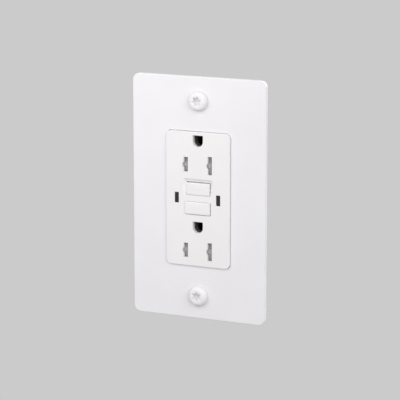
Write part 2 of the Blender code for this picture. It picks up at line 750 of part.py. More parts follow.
def shutter_steps(name, shift, middle):
    """What is taken off a shutter's slope above and below the rib that meets the blade."""
    spare = SHUTTER_LAND
    land_end = SHUTTER_INNER + SHUTTER_LAND
    rise = (SHUTTER_TOE - SHUTTER_FRONT) / (SHUTTER_OUTER - land_end)
    step_toe = SHUTTER_TOE + SHUTTER_STEP + spare * rise
    outline = [
        (SHUTTER_INNER - spare, SHUTTER_FRONT - spare),
        (SHUTTER_OUTER + spare, SHUTTER_FRONT - spare),
        (SHUTTER_OUTER + spare, step_toe),
        (land_end, SHUTTER_FRONT + SHUTTER_STEP),
        (SHUTTER_INNER - spare, SHUTTER_FRONT + SHUTTER_STEP),
    ]
    steps = []
    for label, side in (("upper", 1.0), ("lower", -1.0)):
        ends = (middle + side * SHUTTER_RIB_HALF, middle + side * (SHUTTER_HALF_HEIGHT + spare))
        loop = [(x + shift, y) for x, y in outline]
        steps.append(sheet(f"{name}_{label}_step", "Z", [loop], min(ends), max(ends)))
    return steps


def shutter_links(name, start, middle):
    """Two bars from the hot shutter's toe, through which the neutral shutter pushes it along."""
    bars = []
    for label, side in (("upper", 1.0), ("lower", -1.0)):
        heights = sorted(middle + side * z for z in SHUTTER_LINK_Z)
        low = (start - SHUTTER_LAND, SHUTTER_LINK_Y[0], heights[0])
        high = (SHUTTER_INNER - GAP, SHUTTER_LINK_Y[1], heights[1])
        bars.append(box(f"{name}_{label}_link", low, high))
    return bars


def shutter_tray(place, middle):
    """The shallow tray that guides a receptacle's two shutters, with windows for the blades."""
    name = f"{place}_shutter_tray"
    low = (-TRAY_HALF_WIDTH, SHUTTER_FRONT, middle + TRAY_LOW)
    high = (TRAY_HALF_WIDTH, FLANGE_BACK, middle + TRAY_HIGH)
    tray = box(name, low, high)
    inner_low = (low[0] + TRAY_RAIL, SHUTTER_FRONT - GAP, low[2] + TRAY_RAIL)
    inner_high = (high[0] - TRAY_RAIL, TRAY_FLOOR, high[2] - TRAY_RAIL)
    cut(tray, box(name + "_well", inner_low, inner_high))
    post_low = (SPRING_POST_X[0], SHUTTER_FRONT + GAP, middle - SPRING_POST_HALF)
    post_high = (SPRING_POST_X[1], TRAY_FLOOR + GAP, middle + SPRING_POST_HALF)
    join(tray, box(name + "_post", post_low, post_high))
    windows = [rectangle((side * BLADE_X, middle), BLADE_WINDOW) for side in SIDE.values()]
    cut(tray, sheet(name + "_windows", "Y", windows, 0.0, FLANGE_BACK + GAP))
    complete(tray, "grey_plastic", (0.0, FLANGE_BACK, middle))


# Mounting strap and what is fixed to it


def strap_outline():
    """The strap's outer outline, from the top right, clockwise."""
    right = [
        (STRAP_EAR_HALF, STRAP_END_Z),
        (STRAP_EAR_HALF, STRAP_NECK_Z + STRAP_SLOPE),
        (STRAP_NECK_HALF, STRAP_NECK_Z),
        (STRAP_NECK_HALF, STRAP_BODY_Z + STRAP_SLOPE),
        (STRAP_BODY_HALF, STRAP_BODY_Z),
        (STRAP_BODY_HALF, LUG_LOW),
        (STRAP_NECK_HALF, LUG_LOW - STRAP_SLOPE),
        (STRAP_NECK_HALF, -STRAP_NECK_Z),
        (STRAP_EAR_HALF, -STRAP_NECK_Z - STRAP_SLOPE),
        (STRAP_EAR_HALF, -STRAP_END_Z),
    ]
    left = [
        (-STRAP_EAR_HALF, -STRAP_END_Z),
        (-STRAP_EAR_HALF, -STRAP_NECK_Z - STRAP_SLOPE),
        (-STRAP_NECK_HALF, -STRAP_NECK_Z),
        (-STRAP_NECK_HALF, -STRAP_BODY_Z - STRAP_SLOPE),
        (-STRAP_BODY_HALF, -STRAP_BODY_Z),
        (-STRAP_BODY_HALF, STRAP_BODY_Z),
        (-STRAP_NECK_HALF, STRAP_BODY_Z + STRAP_SLOPE),
        (-STRAP_NECK_HALF, STRAP_NECK_Z),
        (-STRAP_EAR_HALF, STRAP_NECK_Z + STRAP_SLOPE),
        (-STRAP_EAR_HALF, STRAP_END_Z),
    ]
    return right + left


def strap_window():
    """The opening behind the receptacles, with a tongue that carries the lower ground contact."""
    bottom, top = STRAP_WINDOW_Z
    head_low, head_high = TONGUE_HEAD_Z
    tongue = [
        (TONGUE_HALF, bottom),
        (TONGUE_HALF, head_low - (TONGUE_HEAD_HALF - TONGUE_HALF)),
        (TONGUE_HEAD_HALF, head_low),
        (TONGUE_HEAD_HALF, head_high),
    ]
    points = [(STRAP_RAIL_INNER, top), (STRAP_RAIL_INNER, bottom)] + tongue
    points += mirrored(tongue[::-1], -1.0)
    points += [(-STRAP_RAIL_INNER, bottom), (-STRAP_RAIL_INNER, top)]
    return points


def mounting_strap():
    loops = [strap_outline(), strap_window()]
    for place, sign in zip(PLACES, (1.0, -1.0)):
        loops.append(pin_hole((0.0, GROUND_Z[place]), PIN_TUBE_WALL + PIN_CLEARANCE))
        loops.append(circle((0.0, sign * PLATE_SCREW_Z), TAP_RADIUS))
        loops.append(round_ended((0.0, sign * BOX_SCREW_Z), BOX_SLOT))
    strap = sheet("mounting_strap", "Y", loops, STRAP_FRONT, STRAP_BACK)
    tab_low = (TAB_X[0], (STRAP_FRONT + STRAP_BACK) / 2, TAB_Z[0])
    join(strap, box("ground_tab", tab_low, (TAB_X[1] - 2 * GAP, TAB_END, TAB_Z[1])))
    hole_radius = GROUND_SCREW_RADIUS + HOLE_FIT / 2
    hole_centre = (GROUND_SCREW_X, GROUND_SCREW_Y)
    cut(strap, rod("ground_tab_hole", "Z", hole_centre, hole_radius, TAB_Z[0] - GAP, TAB_Z[1] + GAP))
    complete(strap, "zinc_steel")


def box_screws():
    for place, sign in zip(PLACES, (1.0, -1.0)):
        height = sign * BOX_SCREW_Z
        base = (0.0, STRAP_FRONT - GAP / 2, height)
        screw = slotted_screw(
            f"box_screw_{place}",
            BOX_HEAD,
            BOX_SHANK_RADIUS,
            BOX_SHANK_END - base[1],
            base,
            (0.0, -1.0, 0.0),
            (0.0, 0.0, 1.0),
        )
        complete(screw, "zinc_steel", base)
        square = rectangle((0.0, height), (RETAINER_SIZE, RETAINER_SIZE))
        hole = circle((0.0, height), BOX_SHANK_RADIUS + HOLE_FIT / 2)
        front = STRAP_BACK + GAP
        washer = sheet(
            f"screw_retainer_{place}", "Y", [square, hole], front, front + RETAINER_THICK
        )
        complete(washer, "fibre", (0.0, front, height))


def ground_contacts():
    front = STRAP_BACK + GAP
    for place in PLACES:
        name = f"ground_contact_{place}"
        middle = (0.0, GROUND_Z[place])
        eye = rectangle((0.0, middle[1] + GROUND_EYE_LIFT), GROUND_EYE)
        loops = [rectangle(middle, GROUND_BASE), eye]
        contact = sheet(name, "Y", loops, front, front + GROUND_BASE_THICK)
        reach = (FINGER_GAP / 2, FINGER_GAP / 2 + FINGER_THICK)
        heights = (middle[1] - FINGER_HALF_HEIGHT, middle[1] + FINGER_HALF_HEIGHT)
        depths = (front + GROUND_BASE_THICK / 2, FINGER_END)
        for label, side in (("left", -1.0), ("right", 1.0)):
            join(contact, side_box(f"{name}_{label}_finger", side, reach, depths, heights))
        complete(contact, "brass", (0.0, front, middle[1]))
    base = (GROUND_SCREW_X, GROUND_SCREW_Y, TAB_Z[0] - GAP / 2)
    screw = slotted_screw(
        "ground_screw",
        GROUND_SCREW_HEAD,
        GROUND_SCREW_RADIUS,
        GROUND_SCREW_END - base[2],
        base,
        (0.0, 0.0, -1.0),
        (1.0, 0.0, 0.0),
    )
    complete(screw, "green_steel", base)


# Contact carrier and fixed contacts


def contact_carrier():
    """The insulating middle frame, with pockets for everything that passes through it."""
    outline = rectangle((0.0, 0.0), CARRIER_SIZE, HOUSING_CORNER)
    carrier = sheet("contact_carrier", "Y", [outline], CARRIER_FRONT, CARRIER_BACK)
    past_front, past_back = CARRIER_FRONT - 0.001, CARRIER_BACK + 0.001
    through = []
    for place in PLACES:
        through.append(rectangle((0.0, GROUND_Z[place]), GROUND_WINDOW))
        for side in SIDE.values():
            through.append(rectangle((side * BLADE_X, slot_z(place)), BLADE_WINDOW))
    for side in SIDE.values():
        lens = [s + 2 * LENS_GAP for s in LENS_SIZE]
        through.append(rectangle((side * LIGHT_X, LIGHT_Z), lens))
    through.append(circle((0.0, TEST_Z), TEST_STEM_RADIUS + GAP))
    through.append(circle((0.0, RESET_Z), RESET_STEM_RADIUS + 2 * GAP))
    cut(carrier, sheet("carrier_windows", "Y", through, past_front, past_back))
    cut(carrier, corner_holes("carrier_holes", HOUSING_HOLE_RADIUS, past_front, past_back))
    grips = []
    for place in PLACES:
        for side in SIDE.values():
            grips.append(rectangle((side * BLADE_X, slot_z(place)), GRIP_POCKET))
    cut(carrier, sheet("grip_pockets", "Y", grips, POCKET_FRONT, past_back))
    for pole, side in SIDE.items():
        x = (LEAF_OUTER[0] - 2 * GAP, LEAF_OUTER[1] + 2 * GAP)
        z = (slot_z("lower"), slot_z("upper"))
        cut(carrier, side_box(f"{pole}_bar_channel", side, x, (BAR_FRONT - GAP, past_back), z))
        x = (LEAF_OUTER[0], TERMINAL_OUTER + 2 * GAP)
        z = (TERMINAL_Z - TERMINAL_HALF_HEIGHT - GAP, TERMINAL_Z + TERMINAL_HALF_HEIGHT + GAP)
        cut(carrier, side_box(f"{pole}_tab_channel", side, x, (TAB_FRONT - GAP, past_back), z))
        x = (LEAF_OUTER[0], CONTACT_FLANGE[0] + GAP)
        z = (CONTACT_Z - CONTACT_FLANGE[1] - GAP, CONTACT_Z + CONTACT_FLANGE[1] + GAP)
        cut(carrier, side_box(f"{pole}_contact_pocket", side, x, (TAB_FRONT - GAP, past_back), z))
        lamp = circle((side * LIGHT_X, LIGHT_Z), LIGHT_RADIUS + GAP)
        lamp_front = LIGHT_FRONT - 2 * GAP
        cut(carrier, sheet(f"{pole}_lamp_hole", "Y", [lamp], lamp_front, past_back))
    wells = (
        ("test_well", TEST_Z, TEST_WELL_RADIUS, TEST_WELL_END),
        ("reset_well", RESET_Z, RESET_WELL_RADIUS, RESET_WELL_END),
    )
    for name, height, radius, end in wells:
        cut(carrier, rod(name, "Y", (0.0, height), radius, past_front, end, ROUND_STEPS))
    front, _, low, high = LEAF_SPRING
    half = LEAF_SPRING_HALF + 2 * GAP
    leaf_low = (-half, front - GAP, low - GAP)
    cut(carrier, box("leaf_pocket", leaf_low, (half, past_back, high + GAP)))
    clear = GROUND_SCREW_RADIUS + 3 * GAP
    notch_low = (GROUND_SCREW_X - clear, GROUND_SCREW_Y - clear, -CARRIER_SIZE[1])
    notch_high = (GROUND_SCREW_X + clear, GROUND_SCREW_Y + clear, GROUND_SCREW_END + GAP)
    cut(carrier, box("ground_screw_notch", notch_low, notch_high))
    complete(carrier, "grey_plastic", (0.0, CARRIER_FRONT, 0.0))


def contact_bar(pole, side, metal):
    """One stamping: blade grips for both receptacles, a fixed contact and a load terminal plate."""
    name = f"{pole}_contact_bar"
    lower, upper = slot_z("lower"), slot_z("upper")
    reach = LEAF_HALF_HEIGHT
    wall = [
        (LEAF_FRONT, upper + reach),
        (LEAF_FRONT, upper - reach),
        (BAR_FRONT, upper - reach),
        (BAR_FRONT, lower + reach),
        (LEAF_FRONT, lower + reach),
        (LEAF_FRONT, lower - reach),
        (LEAF_BACK, lower - reach),
        (LEAF_BACK, upper + reach),
    ]
    x = sorted((side * LEAF_OUTER[0], side * LEAF_OUTER[1]))
    bar = sheet(name, "X", [wall], *x)
    overlap = (LEAF_OUTER[0] + LEAF_OUTER[1]) / 2
    for place in PLACES:
        middle = slot_z(place)
        hook = [
            (LEAF_INNER[0], middle - reach),
            (LEAF_INNER[1], middle - reach),
            (LEAF_INNER[1], middle + reach - 2 * WEB_HEIGHT),
            (overlap, middle + reach - 2 * WEB_HEIGHT),
            (overlap, middle + reach - WEB_HEIGHT),
            (LEAF_INNER[0], middle + reach - WEB_HEIGHT),
        ]
        front, back = LEAF_FRONT + GAP, LEAF_BACK - GAP
        join(bar, sheet(f"{name}_{place}_leaf", "Y", [mirrored(hook, side)], front, back))
    elbow = [
        (overlap, TAB_FRONT),
        (TERMINAL_OUTER, TAB_FRONT),
        (TERMINAL_OUTER, TERMINAL_BACK),
        (TERMINAL_INNER, TERMINAL_BACK),
        (TERMINAL_INNER, TAB_BACK),
        (overlap, TAB_BACK),
    ]
    low, high = TERMINAL_Z - TERMINAL_HALF_HEIGHT, TERMINAL_Z + TERMINAL_HALF_HEIGHT
    join(bar, sheet(f"{name}_terminal", "Z", [mirrored(elbow, side)], low, high))
    shelf_x = (overlap, CONTACT_FLANGE[0])
    shelf_z = (CONTACT_Z - CONTACT_FLANGE[1], CONTACT_Z + CONTACT_FLANGE[1])
    join(bar, side_box(f"{name}_shelf", side, shelf_x, (TAB_FRONT, CONTACT_FLANGE[2]), shelf_z))
    rivet_centre = (side * CONTACT_X, CONTACT_Z)
    rivet_front = CONTACT_FLANGE[2] - GAP
    join(bar, rod(f"{name}_rivet", "Y", rivet_centre, CONTACT_RADIUS, rivet_front, FIXED_CONTACT_END))
    cut(bar, terminal_hole(name, side, TERMINAL_Z))
    complete(bar, metal, (side * BLADE_X, LEAF_FRONT, 0.0))


def terminal_hole(name, side, height):
    radius = TERMINAL_SHANK_RADIUS + HOLE_FIT / 2
    ends = sorted((side * (TERMINAL_INNER - 0.001), side * (TERMINAL_OUTER + 0.001)))
    return rod(f"{name}_hole", "X", (TERMINAL_Y, height), radius, *ends)


def line_terminal(pole, side, metal):
    """The plate under a line terminal screw, with a foot on the circuit board."""
    name = f"line_{pole}_terminal"
    foot = TERMINAL_INNER - 3 * (TERMINAL_OUTER - TERMINAL_INNER)
    thickness = TERMINAL_OUTER - TERMINAL_INNER
    angle = [
        (TERMINAL_OUTER, BAY_Y[0]),
        (TERMINAL_OUTER, TERMINAL_BACK),
        (foot, TERMINAL_BACK),
        (foot, TERMINAL_BACK - thickness),
        (TERMINAL_INNER, TERMINAL_BACK - thickness),
        (TERMINAL_INNER, BAY_Y[0]),
    ]
    low, high = -TERMINAL_Z - TERMINAL_HALF_HEIGHT, -TERMINAL_Z + TERMINAL_HALF_HEIGHT
    plate = sheet(name, "Z", [mirrored(angle, side)], low, high)
    cut(plate, terminal_hole(name, side, -TERMINAL_Z))
    complete(plate, metal, (side * TERMINAL_OUTER, TERMINAL_Y, -TERMINAL_Z))


def terminals():
    metals = {"hot": "brass", "neutral": "nickel"}
    for pole, side in SIDE.items():
        contact_bar(pole, side, metals[pole])
        line_terminal(pole, side, metals[pole])
        for end, height in (("load", TERMINAL_Z), ("line", -TERMINAL_Z)):
            base = (side * (CLAMP_OUTER + GAP), TERMINAL_Y, height)
            screw = slotted_screw(
                f"{end}_{pole}_screw",
                TERMINAL_HEAD,
                TERMINAL_SHANK_RADIUS,
                CLAMP_OUTER + GAP - TERMINAL_SHANK_END,
                base,
                (side, 0.0, 0.0),
                (0.0, 0.0, 1.0),
            )
            complete(screw, metals[pole], base)
            name = f"{end}_{pole}_clamp"
            square = rectangle((TERMINAL_Y, height), CLAMP_SIZE)
            hole = circle((TERMINAL_Y, height), TERMINAL_SHANK_RADIUS + HOLE_FIT / 2)
            x = sorted((side * CLAMP_INNER, side * CLAMP_OUTER))
            clamp = sheet(name, "X", [square, hole], *x)
            complete(clamp, "zinc_steel", (side * CLAMP_INNER, TERMINAL_Y, height))


def test_contact_leaf():
    front, back, low, high = LEAF_SPRING
    foot_end, foot_low = LEAF_SPRING_FOOT
    profile = [
        (front, low),
        (back, low),
        (back, foot_low),
        (foot_end, foot_low),
        (foot_end, high),
        (front, high),
    ]
    leaf = sheet("test_contact_leaf", "X", [profile], -LEAF_SPRING_HALF, LEAF_SPRING_HALF)
    complete(leaf, "brass", (0.0, front, high))


# Trip mechanism


def contact_arms():
    for pole, side in SIDE.items():
        name = f"{pole}_contact_arm"
        outline = [
            (ARM_INNER, ARM_TOP),
            (ARM_PAD, ARM_TOP),
            (ARM_PAD, ARM_SHOULDER),
            (ARM_OUTER, ARM_SHOULDER),
            (ARM_OUTER, ARM_LOW),
            (ARM_LEG_X[0], ARM_LOW),
            (ARM_LEG_X[0], ARM_TAIL),
            (ARM_INNER, ARM_TAIL),
        ]
        arm = sheet(name, "Y", [mirrored(outline, side)], ARM_FRONT, ARM_BACK)
        rivet_centre = (side * CONTACT_X, CONTACT_Z)
        rivet_back = (ARM_FRONT + ARM_BACK) / 2
        join(arm, rod(f"{name}_rivet", "Y", rivet_centre, CONTACT_RADIUS, ARM_CONTACT_FRONT, rivet_back))
        leg_x = (ARM_LEG_X[0] + GAP, ARM_LEG_X[1])
        leg_z = (CORE_Z - ARM_LEG_HALF, CORE_Z + ARM_LEG_HALF)
        join(arm, side_box(f"{name}_leg", side, leg_x, (rivet_back, ARM_LEG_END), leg_z))
        complete(arm, "brass", (side * CONTACT_X, ARM_FRONT, CONTACT_Z))


def latch_carriage():
    """The block that the reset pin latches to, with a wing behind each contact arm."""
    low = (-CARRIAGE_HALF, CARRIAGE_Y[0], CARRIAGE_Z[0])
    block = box("latch_carriage", low, (CARRIAGE_HALF, CARRIAGE_Y[1], CARRIAGE_Z[1]))
    wing_low = (-WING_HALF, WING_Y[0], WING_Z[0])
    join(block, box("carriage_wings", wing_low, (WING_HALF, WING_Y[1], WING_Z[1])))
    bore_ends = (WING_Y[0] - 0.001, CARRIAGE_Y[1] + 0.001)
    cut(block, rod("carriage_bore", "Y", (0.0, RESET_Z), CARRIAGE_BORE, *bore_ends))
    complete(block, "dark_plastic", (0.0, CARRIAGE_Y[0], RESET_Z))


def solenoid():
    low, high = YOKE_Z
    front, back = YOKE_Y
    channel = [
        (front, low),
        (back, low),
        (back, high),
        (front, high),
        (front, high - YOKE_THICK),
        (back - YOKE_BACK_THICK, high - YOKE_THICK),
        (back - YOKE_BACK_THICK, low + YOKE_THICK),
        (front, low + YOKE_THICK),
    ]
    yoke = sheet("solenoid_frame", "X", [channel], -YOKE_HALF, YOKE_HALF)
    bore = rod("yoke_bore", "Z", (0.0, PLUNGER_Y), WINDING_BORE, low - 0.001, high + 0.001)
    cut(yoke, bore)
    complete(yoke, "zinc_steel", (0.0, PLUNGER_Y, low))
    bottom, top = low + YOKE_THICK + GAP, high - YOKE_THICK - GAP
    step = (top - bottom) / (2 * WINDING_RIBS)
    profile = [(WINDING_BORE, top)]
    for i in range(2 * WINDING_RIBS + 1):
        groove = WINDING_GROOVE if i % 2 else 0.0
        profile.append((WINDING_RADIUS - groove, top - i * step))
    profile += [(WINDING_BORE, bottom), (WINDING_BORE, top)]
    base = (0.0, PLUNGER_Y, 0.0)
    complete(turned("solenoid_winding", profile, base, (0.0, 0.0, 1.0)), "copper_wire")
    cap_radius, cap_height = PLUNGER_CAP
    profile = [
        (0.0, PLUNGER_TOP),
        (cap_radius, PLUNGER_TOP),
        (cap_radius, PLUNGER_TOP - cap_height),
        (PLUNGER_RADIUS, PLUNGER_TOP - cap_height),
        (PLUNGER_RADIUS, PLUNGER_LOW),
        (NOSE_RADIUS, PLUNGER_LOW),
        (NOSE_RADIUS, NOSE_END),
        (0.0, NOSE_END),
    ]
    plunger = turned("trip_plunger", profile, base, (0.0, 0.0, 1.0), SMALL_STEPS)
    complete(plunger, "zinc_steel", (0.0, PLUNGER_Y, NOSE_END))
    coil(
        "plunger_spring",
        (0.0, PLUNGER_Y, high + GAP),
        (0.0, PLUNGER_Y, PLUNGER_TOP - cap_height - GAP),
        PLUNGER_SPRING,
        "spring_steel",
    )


def circuit_board():
    low = (-BOARD_HALF[0], BOARD_Y[0], -BOARD_HALF[1])
    board = box("circuit_board", low, (BOARD_HALF[0], BOARD_Y[1], BOARD_HALF[1]))
    complete(board, "board_green", (0.0, BOARD_Y[0], 0.0))
    length = CORE_Y[1] - CORE_Y[0]
    profile = [(CORE_BORE, length), (CORE_RADIUS - CORE_ROUND, length)]
    profile += arc((CORE_RADIUS - CORE_ROUND, length - CORE_ROUND), CORE_ROUND, 90.0, 0.0, 3)[1:]
    profile += [(CORE_RADIUS, 0.0), (CORE_BORE, 0.0), (CORE_BORE, length)]
    base = (0.0, CORE_Y[1], CORE_Z)
    complete(turned("sense_transformer", profile, base, (0.0, -1.0, 0.0)), "dark_plastic", base)
    disc = rod("surge_varistor", "X", VARISTOR_CENTRE, VARISTOR_RADIUS, *VARISTOR_X, ROUND_STEPS)
    complete(soften(disc, 3 * GAP), "varistor_blue", (VARISTOR_X[0], *VARISTOR_CENTRE))
    film = soften(box("film_capacitor", CAPACITOR_LOW, CAPACITOR_HIGH), 2 * GAP)
    complete(film, "capacitor_ochre", CAPACITOR_LOW)
    chip = soften(box("control_chip", CHIP_LOW, CHIP_HIGH), GAP)
    complete(chip, "dark_plastic", CHIP_LOW)


# Rear housing


def housing_cavity():
    """The hollow's outline, which leaves a solid column for a screw in each corner."""
    half_x = HOUSING_SIZE[0] / 2 - HOUSING_WALL
    half_z = HOUSING_SIZE[1] / 2 - HOUSING_WALL
    quarter = [
        (half_x, COLUMN_Z - COLUMN_DRAFT),
        (COLUMN_X, COLUMN_Z),
        (COLUMN_X - COLUMN_DRAFT, half_z),
    ]
    points = list(quarter)
    points += mirrored(quarter[::-1], -1.0)
    points += [(-x, -z) for x, z in quarter]
    points += mirrored([(-x, -z) for x, z in quarter[::-1]], -1.0)
    return points


def rear_housing():
    outline = rectangle((0.0, 0.0), HOUSING_SIZE, HOUSING_CORNER)
    housing = sheet("rear_housing", "Y", [outline], HOUSING_FRONT, HOUSING_BACK)
    soften(housing, HOUSING_EDGE)
    floor = HOUSING_BACK - HOUSING_WALL
    past_front, past_back = HOUSING_FRONT - 0.001, HOUSING_BACK + 0.001
    cut(housing, sheet("housing_cavity", "Y", [housing_cavity()], past_front, floor))
    for x in (-POST_AT[0], POST_AT[0]):
        for z in (-POST_AT[1], POST_AT[1]):
            low = (x - POST_HALF, BOARD_Y[1] + GAP, z - POST_HALF)
            high = (x + POST_HALF, floor + HOUSING_WALL / 2, z + POST_HALF)
            join(housing, box("board_post", low, high))
    cut(housing, corner_holes("housing_holes", HOUSING_HOLE_RADIUS, past_front, past_back))
    head_clear = HOUSING_HEAD_RADIUS + GAP
    head_seat = HOUSING_HEAD_FRONT - GAP / 2
    cut(housing, corner_holes("housing_counterbores", head_clear, head_seat, past_back))
    wire_holes = []
    for side in SIDE.values():
        for height in (TERMINAL_Z, -TERMINAL_Z):
            bay_x = (BAY_INNER, HOUSING_SIZE[0])
            bay_z = (height - BAY_HALF_HEIGHT, height + BAY_HALF_HEIGHT)
            cut(housing, side_box("terminal_bay", side, bay_x, BAY_Y, bay_z))
            for offset in (-WIRE_HOLE_STEP, WIRE_HOLE_STEP):
                centre = (side * WIRE_HOLE_X, height + offset)
                wire_holes.append(circle(centre, WIRE_HOLE_RADIUS))
    cut(housing, sheet("wire_holes", "Y", wire_holes, floor - 0.001, past_back))
    complete(housing, "grey_plastic", (0.0, HOUSING_BACK, 0.0))


def housing_screws():
    for row, z in (("upper", HOUSING_SCREW_Z), ("lower", -HOUSING_SCREW_Z)):
        for label, x in (("left", -HOUSING_SCREW_X), ("right", HOUSING_SCREW_X)):
            base = (x, HOUSING_HEAD_FRONT, z)
            screw = slotted_screw(
                f"housing_screw_{row}_{label}",
                (HOUSING_HEAD_RADIUS, HOUSING_HEAD_BACK - HOUSING_HEAD_FRONT),
                HOUSING_SCREW_RADIUS,
                HOUSING_HEAD_FRONT - HOUSING_SCREW_END,
                base,
                (0.0, 1.0, 0.0),
                (1.0, 0.0, 0.0),
            )
            complete(screw, "zinc_steel", base)


def hang_on_frame():
    """Parents every part to one empty on the wall surface."""
    frame = bpy.data.objects.new(f"{OBJECT_NAME}_frame", None)
    PARTS.objects.link(frame)
    for part in PARTS.objects:
        if part is not frame:
            part.parent = frame


clear_scene()
PARTS = new_collection(OBJECT_NAME)
TOOLS = new_collection(f"{OBJECT_NAME}_cutters", hidden=True)
wall_plate()
plate_screws()
front_cover()
buttons()
status_lights()
shutters()
mounting_strap()
box_screws()
ground_contacts()
contact_carrier()
terminals()
test_contact_leaf()
contact_arms()
latch_carriage()
solenoid()
circuit_board()
rear_housing()
housing_screws()
hang_on_frame()
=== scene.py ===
# %% [markdown]
# # A ground-fault outlet behind a flat white wall plate
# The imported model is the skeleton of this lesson: every body, joint and size comes from it.
# The cells below dress it. Visible pieces are rebuilt with rounder edges and finer detail, and
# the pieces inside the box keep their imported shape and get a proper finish.

import json
import math

import bmesh
import bpy
from mathutils import Matrix, Vector
from mathutils.geometry import tessellate_polygon


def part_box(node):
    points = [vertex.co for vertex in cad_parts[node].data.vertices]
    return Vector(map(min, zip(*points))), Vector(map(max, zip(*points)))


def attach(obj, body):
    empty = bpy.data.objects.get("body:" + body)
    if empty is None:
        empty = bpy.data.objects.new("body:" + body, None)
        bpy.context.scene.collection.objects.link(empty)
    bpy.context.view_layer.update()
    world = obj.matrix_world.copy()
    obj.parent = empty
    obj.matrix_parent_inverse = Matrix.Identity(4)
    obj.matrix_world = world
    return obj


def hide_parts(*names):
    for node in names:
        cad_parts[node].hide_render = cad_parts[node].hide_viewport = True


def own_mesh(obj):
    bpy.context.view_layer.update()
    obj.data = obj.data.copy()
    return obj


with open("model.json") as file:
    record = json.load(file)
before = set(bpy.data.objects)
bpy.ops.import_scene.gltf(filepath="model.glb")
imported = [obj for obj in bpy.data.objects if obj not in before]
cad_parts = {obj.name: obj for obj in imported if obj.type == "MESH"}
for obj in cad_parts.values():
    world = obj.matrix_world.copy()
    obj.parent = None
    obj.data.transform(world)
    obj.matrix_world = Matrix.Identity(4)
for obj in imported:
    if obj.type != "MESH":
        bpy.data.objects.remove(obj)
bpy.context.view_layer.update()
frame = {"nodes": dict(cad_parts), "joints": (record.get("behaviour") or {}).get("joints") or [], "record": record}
MM = 0.001

# %% [markdown]
# ## The camera
# The plate's four corners were measured in the photograph, and a plain pinhole camera was
# fitted to them. A long lens from almost a metre away keeps the plate's sides nearly parallel.

# %% Camera
IMAGE_PIXELS = 400
AZIMUTH, ELEVATION = math.radians(23.76), math.radians(12.27)
CAMERA_DISTANCE = 0.9196
FOCAL_PIXELS = 1890.5
SENSOR_MM = 36.0
AIM_RIGHT, AIM_UP = -0.10 * MM, -0.74 * MM

level = math.cos(ELEVATION)
rightward = Vector((math.cos(AZIMUTH), math.sin(AZIMUTH), 0.0))
backward = Vector((math.sin(AZIMUTH) * level, -math.cos(AZIMUTH) * level, math.sin(ELEVATION)))
upward = backward.cross(rightward)
aim = AIM_RIGHT * rightward + AIM_UP * upward
lens = bpy.data.cameras.new("studio_camera")
lens.sensor_width = SENSOR_MM
lens.lens = FOCAL_PIXELS / IMAGE_PIXELS * SENSOR_MM
camera = bpy.data.objects.new("studio_camera", lens)
axes = Matrix((rightward, upward, backward)).transposed().to_4x4()
camera.matrix_world = Matrix.Translation(aim + CAMERA_DISTANCE * backward) @ axes
scene = bpy.context.scene
scene.collection.objects.link(camera)
scene.camera = camera
print("lens in mm:", round(lens.lens, 1))


# %% [markdown]
# ## Shader arithmetic
# A node tree reads best as a formula. This class holds one socket: a sum or product of two of
# them adds the Math node for it, and `node` adds any other kind of node. Colours are mixed with
# `blend`, because a Math node would turn them grey.

# %% One socket that can be calculated with
class Wire:
    def __init__(self, tree, socket=None):
        self.tree, self.socket = tree, socket

    def node(self, kind, settings=None, sockets=None, out=0):
        """A new node: its settings first, then the values or links of its sockets."""
        made = self.tree.nodes.new("ShaderNode" + kind)
        for name, value in (settings or {}).items():
            setattr(made, name, value)
        for name, value in (sockets or {}).items():
            if isinstance(value, Wire):
                self.tree.links.new(value.socket, made.inputs[name])
            else:
                made.inputs[name].default_value = value
        return Wire(self.tree, made.outputs[out] if made.outputs else None)

    def maths(self, operation, first, second):
        return self.node("Math", {"operation": operation}, {0: first, 1: second})

    def __add__(self, other):
        return self.maths("ADD", self, other)

    def __radd__(self, other):
        return self.maths("ADD", other, self)

    def __sub__(self, other):
        return self.maths("SUBTRACT", self, other)

    def __rsub__(self, other):
        return self.maths("SUBTRACT", other, self)

    def __mul__(self, other):
        return self.maths("MULTIPLY", self, other)

    def __rmul__(self, other):
        return self.maths("MULTIPLY", other, self)

    def __or__(self, other):
        return self.maths("MAXIMUM", self, other)

    def between(self, low, high):
        """0 below low, 1 above high, and a smooth step from one to the other."""
        limits = {0: self, 1: low, 2: high}
        return self.node("MapRange", {"interpolation_type": "SMOOTHSTEP"}, limits)

    def blend(self, first, second):
        """The first colour where this is 0 and the second where it is 1."""
        return self.node("Mix", {"data_type": "RGBA"}, {0: self, 6: first, 7: second}, 2)

    def bump(self, strength, depth):
        return self.node("Bump", {}, {"Height": self, "Strength": strength, "Distance": depth})

    def noise(self, grain, detail=2.0):
        """Soft random spots about as large as the grain, on this position."""
        spots = {"Vector": self, "Scale": 1.0 / grain, "Detail": detail}
        return self.node("TexNoise", {}, spots, "Fac")

    def stretched(self, x, y, z):
        """This position, with its spots drawn out along the directions of small numbers."""
        return self.node("VectorMath", {"operation": "MULTIPLY"}, {0: self, 1: (x, y, z)})


def rgb(red, green, blue):
    return (red, green, blue, 1.0)


print("shader arithmetic ready")

# %% [markdown]
# ## Studio: background, floor and lamps
# The photograph has an even pale grey behind the object. That grey is what the camera, mirrors
# and glass see of the world, while the light that the world gives is set on its own.
# The outlet hangs free, as it does in the photograph, over a pale round floor that takes its
# shadow and fades into the background at its rim.

# %% World and floor
BACKGROUND = rgb(0.597, 0.597, 0.597)
AMBIENT = rgb(1.0, 1.0, 1.0)
AMBIENT_STRENGTH = 0.39
FLOOR_Z, FLOOR_RADIUS, FLOOR_STEPS = -0.60, 1.15, 96
FLOOR_COLOUR = rgb(0.62, 0.62, 0.62)


